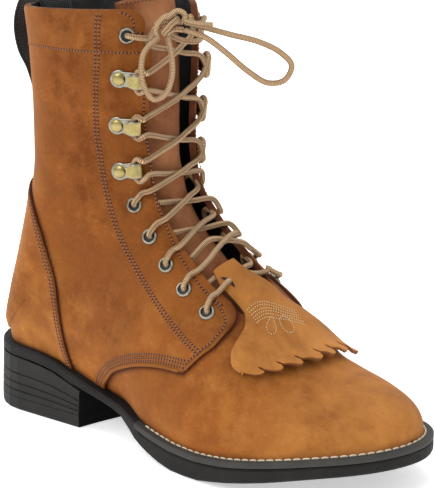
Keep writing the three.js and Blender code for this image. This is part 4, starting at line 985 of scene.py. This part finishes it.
def kiltie_place(found):
    """The flap's height over the last, and how far it has slipped under a quarter (negative in the open)."""
    xyz, row = found[:, :3], found[:, 3]
    side = np.where(found[:, 4] < 0, -1, 1)
    open_by = round_end((row - THROAT_ROW) / THROAT_ROUND)
    want = np.where(side < 0, gap_outer(row), gap_inner(row)) * BALL * open_by
    off = np.abs(xyz[:, 1] - lean_y(row) * BALL) - want
    tuck = np.minimum(depth_inside(quarter_outline, xyz), np.where(row > THROAT_ROW, off, 1e3))
    rise = 1.4 + 3.4 * ease((xyz[:, 0] - 190) / 48)
    return mix(-1.5, rise, ease(-tuck / 8)), tuck


tab_ends = [-1, -0.77, -0.53, -0.27, 0.05, 0.31, 0.62, 1]
slit_top = 0.89
sheets = []
for first, last in zip(tab_ends[:-1], tab_ends[1:]):
    many = 16 if first == -1 else 9
    shares = np.concatenate([np.linspace(0, slit_top, 44), np.linspace(slit_top, 1, 9)[1:]])
    grid = []
    for share in shares:
        open_by = 0.012 * ease((share - slit_top) / 0.05)
        a = first + (open_by if first > -1 else 0)
        b = last - (open_by if last < 1 else 0)
        along = []
        for s in np.linspace(0, 1, many):
            tip = 0.95 + 0.09 * min(s / 0.7, (1 - s) / 0.3 + 0.05)
            if first == -1:
                tip = 1.02 - 0.17 * (1 - s) ** 2 - 0.04 * s**4
            grow = mix(slit_top, tip, (share - slit_top) / (1 - slit_top)) if share > slit_top else share
            along.append(kiltie_point(grow, mix(a, b, s)))
        grid.append(along)
    points, quads = lattice(np.array(grid))
    faces = triangles(quads)
    sheets.append((points, faces, np.zeros(len(faces))))
points, faces = weld(*join(sheets)[:2])
up = normals_of(points[:, :3], faces)
if up[:, 2].sum() < 0:
    up, faces = -up, faces[:, ::-1]
height, tuck = kiltie_place(points)
points = np.concatenate([points, up, height[:, None], tuck[:, None]], axis=1)
points, faces = trim(points, faces, 3 - points[:, 10])
xyz, up, height, share = points[:, :3], points[:, 6:9], points[:, 9:10], points[:, 5]
curl = 0.9 * ease((share - 0.8) / 0.25) * np.sin(points[:, 4] * 0.5)
under = xyz + up * (height + curl[:, None])
tint = np.zeros((len(points), 3))
tint[:, 1] = 0.75
tint[:, 2] = 0.35 * ease((0.4 - share) / 0.3)
# painted shade where the flap slips under the quarters and facings
tint[:, 0] = 0.3 * np.exp(-((points[:, 10] / 2.5) ** 2))
FLAP = 1.9
kiltie = panel("kiltie_leather", under, faces, up, FLAP, 0, 0.35, tint, nubuck)
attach(kiltie, "root")
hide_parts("kiltie")
kiltie_tree = BVHTree.FromPolygons((under + up * FLAP).tolist(), faces.tolist())
under_side = make_piece(
    "kiltie_underside", metres(under + up * 0.05), faces[:, ::-1], [cut_edge], tint=tint
)
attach(under_side, "root")


def on_kiltie(track):
    """Points and normals on the flap's face along a track of (share, across)."""
    found = np.array([kiltie_point(s, a) for s, a in track])
    aside = np.array([kiltie_point(s, a + 0.02) for s, a in track]) - found
    ahead = np.array([kiltie_point(s + 0.01, a) for s, a in track]) - found
    facing = unit_rows(np.cross(aside[:, :3], ahead[:, :3]))
    facing *= np.sign(facing[:, 2:3])
    height, _ = kiltie_place(found)
    return found[:, :3] + facing * (height + FLAP)[:, None], facing


sewn = []
for k in range(6):
    arch = np.linspace(-1, 1, 30)
    track = [
        (0.5 + 0.026 * k - 0.06 * (1 - a * a) + 0.085 * a, -0.16 + 0.02 * k + (0.74 - 0.05 * k) * a)
        for a in arch
    ]
    sewn.append(sew(*on_kiltie(track), 1.5, 1.05, 0.62, 0, 0.3))
for hub_share, hub_across, wide, tall in [(0.62, -0.16, 0.11, 0.05), (0.655, 0.12, 0.13, 0.06)]:
    angle = np.linspace(0, 2 * np.pi, 26)
    track = [
        (hub_share + tall * np.sin(a) - 0.03 * np.cos(a), hub_across + wide * np.cos(a)) for a in angle
    ]
    sewn.append(sew(*on_kiltie(track), 1.5, 1.05, 0.62, 0, 0.3))
gold_thread = thread_finish("gold_thread", "ecd2a4", "b88a58")
kiltie_stitches = stitching("kiltie_stitches", sewn, gold_thread)
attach(kiltie_stitches, "root")

# Lace hardware: nickel eyelets with blackened barrels and painted shade in their holes, and nickel speed
# hooks with brass faces and rivets.
# Each has a frame of its own on the leather: x towards the throat, y up its edge, z out.
def unit(v):
    return v / np.linalg.norm(v)


def row_at_edge(side, down):
    rows = np.arange(COLLAR_ROW, THROAT_ROW, -0.02)
    walk = last_point(side, rows, throat_up(rows, side))
    run = distances(walk)
    return float(rows[np.searchsorted(run, down)])


def station_frame(side, down, inset, out_by):
    """Origin and three axes of a place on the leather, inset square back from the throat's edge."""
    edge_row = row_at_edge(side, down)
    at_edge = lambda r: last_point(side, r, throat_up(r, side))
    edge, along_edge = at_edge(edge_row), unit(at_edge(edge_row + 0.1) - at_edge(edge_row - 0.1))
    edge_up = float(throat_up(edge_row, side))
    inward = last_point(side, edge_row, edge_up - 0.02) - edge
    inward = unit(inward - along_edge * (inward @ along_edge))
    row, up = edge_row, edge_up - 0.1
    for _ in range(24):
        point = last_point(side, row, up)
        away = point - edge
        slip = away @ along_edge
        reach = np.sign(away @ inward) * np.sqrt(max(0, away @ away - slip * slip))
        per_row = (last_point(side, row + 0.05, up) - point) @ along_edge / 0.05
        per_up = np.linalg.norm(point - last_point(side, row, up - 0.01)) / 0.01
        row -= 0.6 * slip / per_row
        up -= 0.6 * (inset - reach) / per_up
    point = last_point(side, row, up)
    on_rib = last_point(side, row, up + 0.01) - last_point(side, row, up - 0.01)
    up_rows = last_point(side, row + 0.05, up) - last_point(side, row - 0.05, up)
    normal = unit(np.cross(on_rib, up_rows) * -side)
    to_throat = unit(np.cross(along_edge, normal) * -side)
    return point + normal * out_by, np.array([to_throat, unit(np.cross(normal, to_throat)), normal])


def metal_finish(name, shade, roughness, dark, light, patches, least, most):
    """Worn metal, mottled in shade and roughness."""
    material, add, use = start_finish(name, colour(shade), roughness, Metallic=1.0)
    wear = noise(add, add("TexCoord", {}, out=3), patches, 4.0)
    use(Base_Color=blend(add, wear, dark, light), Roughness=ramp(add, wear, 0.0, 1.0, least, most))
    return material


nickel = metal_finish("nickel", "8f8b7e", 0.34, "615d50", "b5b1a2", 420.0, 0.2, 0.42)
brass = metal_finish("antique_brass", "a08f52", 0.32, "7a6a38", "c4b47a", 300.0, 0.24, 0.45)
# black for the eyelets' barrels and, on the disc over each hole, painted shade in the hole
barrel_and_hole_shade, add, use = start_finish("barrel_and_hole_shade", colour("0b0b0b"), 0.5)
use(Roughness=ramp(add, noise(add, None, 500.0), 0.0, 1.0, 0.4, 0.6))


def turned(profile, sides=32):
    """A lathe shape round z from (radius, height) pairs."""
    angle = np.arange(sides) * 2 * np.pi / sides
    ring = np.stack([np.cos(angle), np.sin(angle), np.zeros(sides)], -1)
    return lattice(np.array([ring * r + (0, 0, z) for r, z in profile]), closed=True)


eyelet_ring = turned(
    [(3.05, 0.15), (3.1, 0.9), (3.3, 1.2), (3.65, 1.35), (4.1, 1.2), (4.5, 0.75), (4.75, 0.1), (4.7, -0.1)]
)
# a black disc over the eyelet's hole: the blackened barrel and painted shade in the hole
eyelet_hole = turned([(0.01, 0.12), (1.6, 0.12), (3.2, 0.12)])
plate = turned([(0.01, 0.95), (4.2, 0.95), (5.0, 0.8), (5.2, 0.45), (5.2, 0)])
rivet = turned([(0.01, 2.35), (1.2, 2.3), (2.4, 2.05), (3.3, 1.6), (3.75, 1.15), (3.85, 0.8)])
bend = curve_through(
    [
        (1, 0.6, 0), (6, 0.6, 0), (11.4, 0.7, 0), (13.6, 2.0, 0), (14.3, 4.0, 0), (12.8, 5.8, 0),
        (9.2, 6.35, 0), (5.8, 5.2, 0)
    ],
    0.6
)[:, :2]
way = unit_rows(np.gradient(bend, axis=0))
wide = np.interp(
    np.arange(len(bend)), [0, len(bend) * 0.55, len(bend) * 0.85, len(bend) - 1], [4.3, 4.35, 4.2, 3.0]
)
loop_y = np.array([-1, -0.97, -0.8, -0.35, 0.35, 0.8, 0.97, 1, 0.97, 0.8, 0.35, -0.35, -0.8, -0.97])
loop_t = np.array([0, 0.4, 0.5, 0.36, 0.36, 0.5, 0.4, 0, -0.4, -0.45, -0.45, -0.45, -0.45, -0.4])
side_x, side_z = bend[:, None, 0] + way[:, None, 1] * loop_t, bend[:, None, 1] - way[:, None, 0] * loop_t
strip = lattice(np.stack([side_x, wide[:, None] * loop_y, side_z], -1), closed=True)
column = np.arange(len(strip[1])) % len(loop_y)


def marked(shape, kind):
    """A shape with the number of its finish for each face."""
    return (*shape, np.full(len(shape[1]), kind))


brass_face = np.isin(column, [2, 3, 4]).astype(int)
hook_parts = join([marked(plate, 0), marked(rivet, 1), (*strip, brass_face)])
eyelet_parts = join([marked(eyelet_ring, 0), marked(eyelet_hole, 1)])
HOOKS = (2, 3, 4)
DOWNS = [14.5, 40, 66, 90.5, 106.5, 126, 144, 162, 180]
stations = {}
for side in (-1, 1):
    for number, down in enumerate(DOWNS, 1):
        hook = number in HOOKS
        origin, axes = station_frame(side, down, 17 if hook else 13, QUARTER)
        stations[side, number] = origin, axes
        points, faces, kinds = hook_parts if hook else eyelet_parts
        finishes = [nickel, brass if hook else barrel_and_hole_shade]
        name = f"{'hook' if hook else 'eyelet'}_{'outer' if side < 0 else 'inner'}_{number}"
        metal = make_piece(name + "_metal", metres(origin + points @ axes), faces, finishes, kinds)
        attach(metal, "root")
        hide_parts(name)

# The lace: round braided cord, tan with two dark runners, led up the eyelets from inside and round the hooks.
# It is tied in front of the tongue in a bow with one long loop, one small one hanging and a short end.
LACE = 1.6
braid, add, use = start_finish(
    "lace_braid", colour("c9a078"), 0.85, Specular_IOR_Level=0.25, Sheen_Weight=0.15
)
way = add("UVMap", {}, uv_map="along")
ribs, cross = [
    add(
        "TexWave",
        {
            "Vector": add("Mapping", {"Vector": way, "Scale": (1000.0, turns, 0.0)}), "Scale": 0.4,
            "Distortion": 0.25, "Detail": 1.0
        },
        bands_direction="X"
    )
    for turns in (3.2, -9.6)
]
round_share = add("SeparateXYZ", {"Vector": way}).node.outputs[1]
runner = add(
    "TexWave", {"Vector": add("CombineXYZ", {"X": round_share}), "Scale": 0.955, "Distortion": 0.0},
    bands_direction="X"
)
shade = blend(add, ribs, "8a6238", "efcb9c")
use(
    Base_Color=blend(add, ramp(add, runner, 0.72, 0.95, 0.0, 0.6), shade, "6b4626"),
    Normal=relief(add, ribs, 0.8, 0.0005, relief(add, cross, 0.3, 0.0003)),
)


def braided(name, tubes):
    """Tubes of the lace as one piece."""
    points, faces, corners = join(tubes)
    return make_piece(name, metres(points), faces, [braid], corners=corners)


def at(station, x, y, z):
    origin, axes = stations[station]
    return origin + np.array([x, y, z]) @ axes


def over_edge(side, down, inset, out_by):
    return station_frame(side, down, inset, out_by)[0]


def across_front(upper_number, side):
    """The lace from one side's lower station over the throat to the other side's next one up."""
    lower_down, upper_down = DOWNS[upper_number], DOWNS[upper_number - 1]
    lower, upper = (side, upper_number + 1), (-side, upper_number)
    hooked = upper_number in HOOKS
    start = over_edge(side, mix(lower_down, upper_down, 0.2), 1.0, QUARTER + LACE + 0.2)
    if hooked:
        stop = over_edge(-side, mix(lower_down, upper_down, 0.8), 0.5, QUARTER + LACE + 1.0)
    else:
        stop = over_edge(-side, mix(lower_down, upper_down, 0.76), 0.0, -1.2)
    outward = unit(stations[lower][1][2] + stations[upper][1][2])
    lift = 1.9 if side < 0 else -1.9
    route = [start]
    if upper_number >= 7:
        for share, high in [(0.17, 0), (0.3, 0), (0.5, 0.6 if side < 0 else -0.9), (0.7, 0)]:
            row = row_at_edge(-1, mix(lower_down, upper_down, share))
            wide = side * mix(1, -1, share) * 0.165 * BALL * 1.6
            over = upper_number == 7 or share < 0.2
            route.append(
                front_line(row, np.array([wide]), -((3.9 if over else -2.0) + LACE * 0.6 + high * 1.5))[0]
            )
    else:
        for share in (0.35, 0.5, 0.65):
            sag = 1.2 * (1 - (2 * share - 1) ** 2)
            route.append(
                mix(start, stop, share) + outward * (lift * (1 - abs(2 * share - 1) * 1.2) + 2.6 - sag)
            )
    route.append(stop)
    if hooked:
        route += [
            at(upper, *p) for p in [
                (15.6, -5.0, 3.4), (12.4, -6.4, 3.1), (9.7, -3.0, 2.9), (9.4, 0, 2.9), (9.7, 3.0, 2.9),
                (12.4, 6.4, 3.1), (15.6, 5.0, 3.4)
            ]
        ]
    else:
        route += [at(upper, *p) for p in [(8.5, -2.0, -5.2), (3.0, -0.6, -5.6), (0.2, 0, -4.0)]]
    return route


def out_of_eyelet(station):
    return [
        at(station, *p) for p in [
            (0, 0, -2.2), (0.3, 0.1, 0.2), (1.6, 0.8, 2.6), (4.6, 2.0, 3.3), (8.2, 3.6, 2.2)
        ]
    ]


bow_face, bow_right = np.array([0.652, -0.758, 0]), np.array([0.758, 0.652, 0])
knot_middle = np.array([146.498, -21.346, 244.75])


def on_bow(right, up, out):
    return knot_middle + bow_right * right + bow_face * out + (0, 0, up)


strand_paths = []
for side, name in [(-1, "outer"), (1, "inner")]:
    route = [at((side, 9), 1.5, -1, -6), at((side, 9), 0.2, 0, -4)]
    here = side
    for upper_number in range(8, 0, -1):
        if upper_number + 1 not in HOOKS:
            route += out_of_eyelet((here, upper_number + 1))
        route += across_front(upper_number, here)
        here = -here
    route += [at((here, 1), *p) for p in [(0, 0, -1.6), (0.4, 0, 0.6), (2.2, -0.3, 2.9), (6.0, -1.0, 3.1)]]
    route.append(over_edge(here, DOWNS[0] + 1.5, 2.0, QUARTER + LACE + 0.4))
    if here < 0:
        route += [on_bow(-4.6, -1.8, -1.6), on_bow(-1.5, -0.4, 0)]
    else:
        route += [on_bow(18, -10, -9), on_bow(9, -9, -5), on_bow(3.0, -5.5, -2.0), on_bow(0, -1, 0)]
    strand_paths.append(curve_through(route, 0.7))
    strand = braided(f"lace_from_{name}_eyelet", [tube(strand_paths[-1], LACE)])
    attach(strand, "root")
    if side < 0:
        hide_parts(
            *[f"lace_crossing_{k}" for k in range(1, 9)], "lace_bar", "lace_tie_outer",
            "lace_tie_inner"
        )

# where a lace passes through the flap, a dark slit-shaped sheet lies on it: painted shade in the slit
slit_parts = []
for path in strand_paths:
    for before, after in zip(path[:-1], path[1:]):
        centre, out, _, gap = kiltie_tree.find_nearest(Vector(after))
        last_centre, last_out, _, _ = kiltie_tree.find_nearest(Vector(before))
        if gap > 1.2 or (
            (Vector(before) - last_centre) @ last_out > 0
        ) == ((Vector(after) - centre) @ out > 0):
            continue
        out = np.array(out)
        ahead = unit((after - before) - out * ((after - before) @ out))
        beside = np.cross(out, ahead)
        rows_of = []
        for u in np.linspace(-1, 1, 15):
            middle = np.array(centre) + beside * u * 5.2 - ahead * 1.4 * u * u
            across_slit = [middle + ahead * w * 1.1 * (1 - u * u) ** 0.6 for w in (-1, -0.4, 0.4, 1)]
            rows_of.append(
                [np.array(kiltie_tree.find_nearest(Vector(p))[0]) + out * 0.07 for p in across_slit]
            )
        points, faces = lattice(np.array(rows_of))
        slit_parts.append((points, faces, np.zeros(len(faces))))
points, faces, _ = join(slit_parts)
lace_slit_shade = make_piece("kiltie_lace_slit_shade", metres(points), faces, [needle_hole_shade])
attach(lace_slit_shade, "root")

wraps = [
    [(-5.2, -0.6, 0.2), (-2, 1.6, 1.4), (3.5, 1.5, 1.0), (8, 1.4, 0.4), (10.8, 1.5, 0.5)],
    [
        (-3.4, -6.2, 0.8), (-4.5, -3.2, 2.2), (-3.2, 1.2, 3.6), (0.6, 4.9, 3.2), (3.6, 4.6, 0.4),
        (3.4, 0.6, -2.4), (1.0, -3.4, -2.6), (-0.6, -4.6, 0.6), (0.8, -2.6, 3.8), (3.6, 0.6, 4.4),
        (6.4, 3.0, 3.0), (6.6, 3.4, -0.6)
    ],
    [(1.4, -6.4, 0.8), (2.6, -3.4, 1.6), (5.6, -2.2, 1.8), (10.8, -2.6, 1.9)],
    [(0.2, 2.2, 1.2), (1.0, 3.0, 2.5)],
]
parts = [tube(curve_through([on_bow(*p) for p in wrap], 0.5), LACE * 1.03) for wrap in wraps]
knot = braided("bow_knot", parts)
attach(knot, "root")
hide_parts("lace_knot")

near_loop = [
    (-3.2, -6.6, 1), (-11, -14, 9), (-12.5, -22, 14), (-11, -32, 16), (-6, -39, 16), (0, -37, 15),
    (4, -28, 12), (4, -17, 7.5), (1.6, -6.6, 1)
]
far_loop = [
    (10.5, 1.5, 0.5), (21, -1, 2), (36, -5, 3), (52, -9, 4), (64, -15, 4), (70, -22, 4), (66, -30, 5),
    (57, -31.5, 5), (46, -25, 6), (33, -14, 6), (22.5, -6.5, 5), (10.6, -2.5, 2)
]
short_end = [
    (1.0, 3.0, 2.5), (3.4, 5.6, 3.5), (7.4, 8.0, 4), (10.8, 6.4, 4.2), (11.6, 2.8, 4.8), (15.5, 1.6, 5.8),
    (21, 0.9, 7.0), (27, 0.6, 8.5)
]
for name, node, loop, far_end in [
    ("bow_near_loop", "lace_loop_outer", near_loop, "knot"),
    ("bow_far_loop", "lace_loop_inner", far_loop, "knot"),
    ("bow_short_end", "lace_end", short_end, "bare"),
]:
    path = curve_through([on_bow(*p) for p in loop], 0.6)
    cord = braided(name, [tube(path, LACE)])
    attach(cord, "root")
    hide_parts(node)
    line = metres(path)
    length = float(np.linalg.norm(np.diff(line, axis=0), axis=1).sum())
    tuple(line[0])
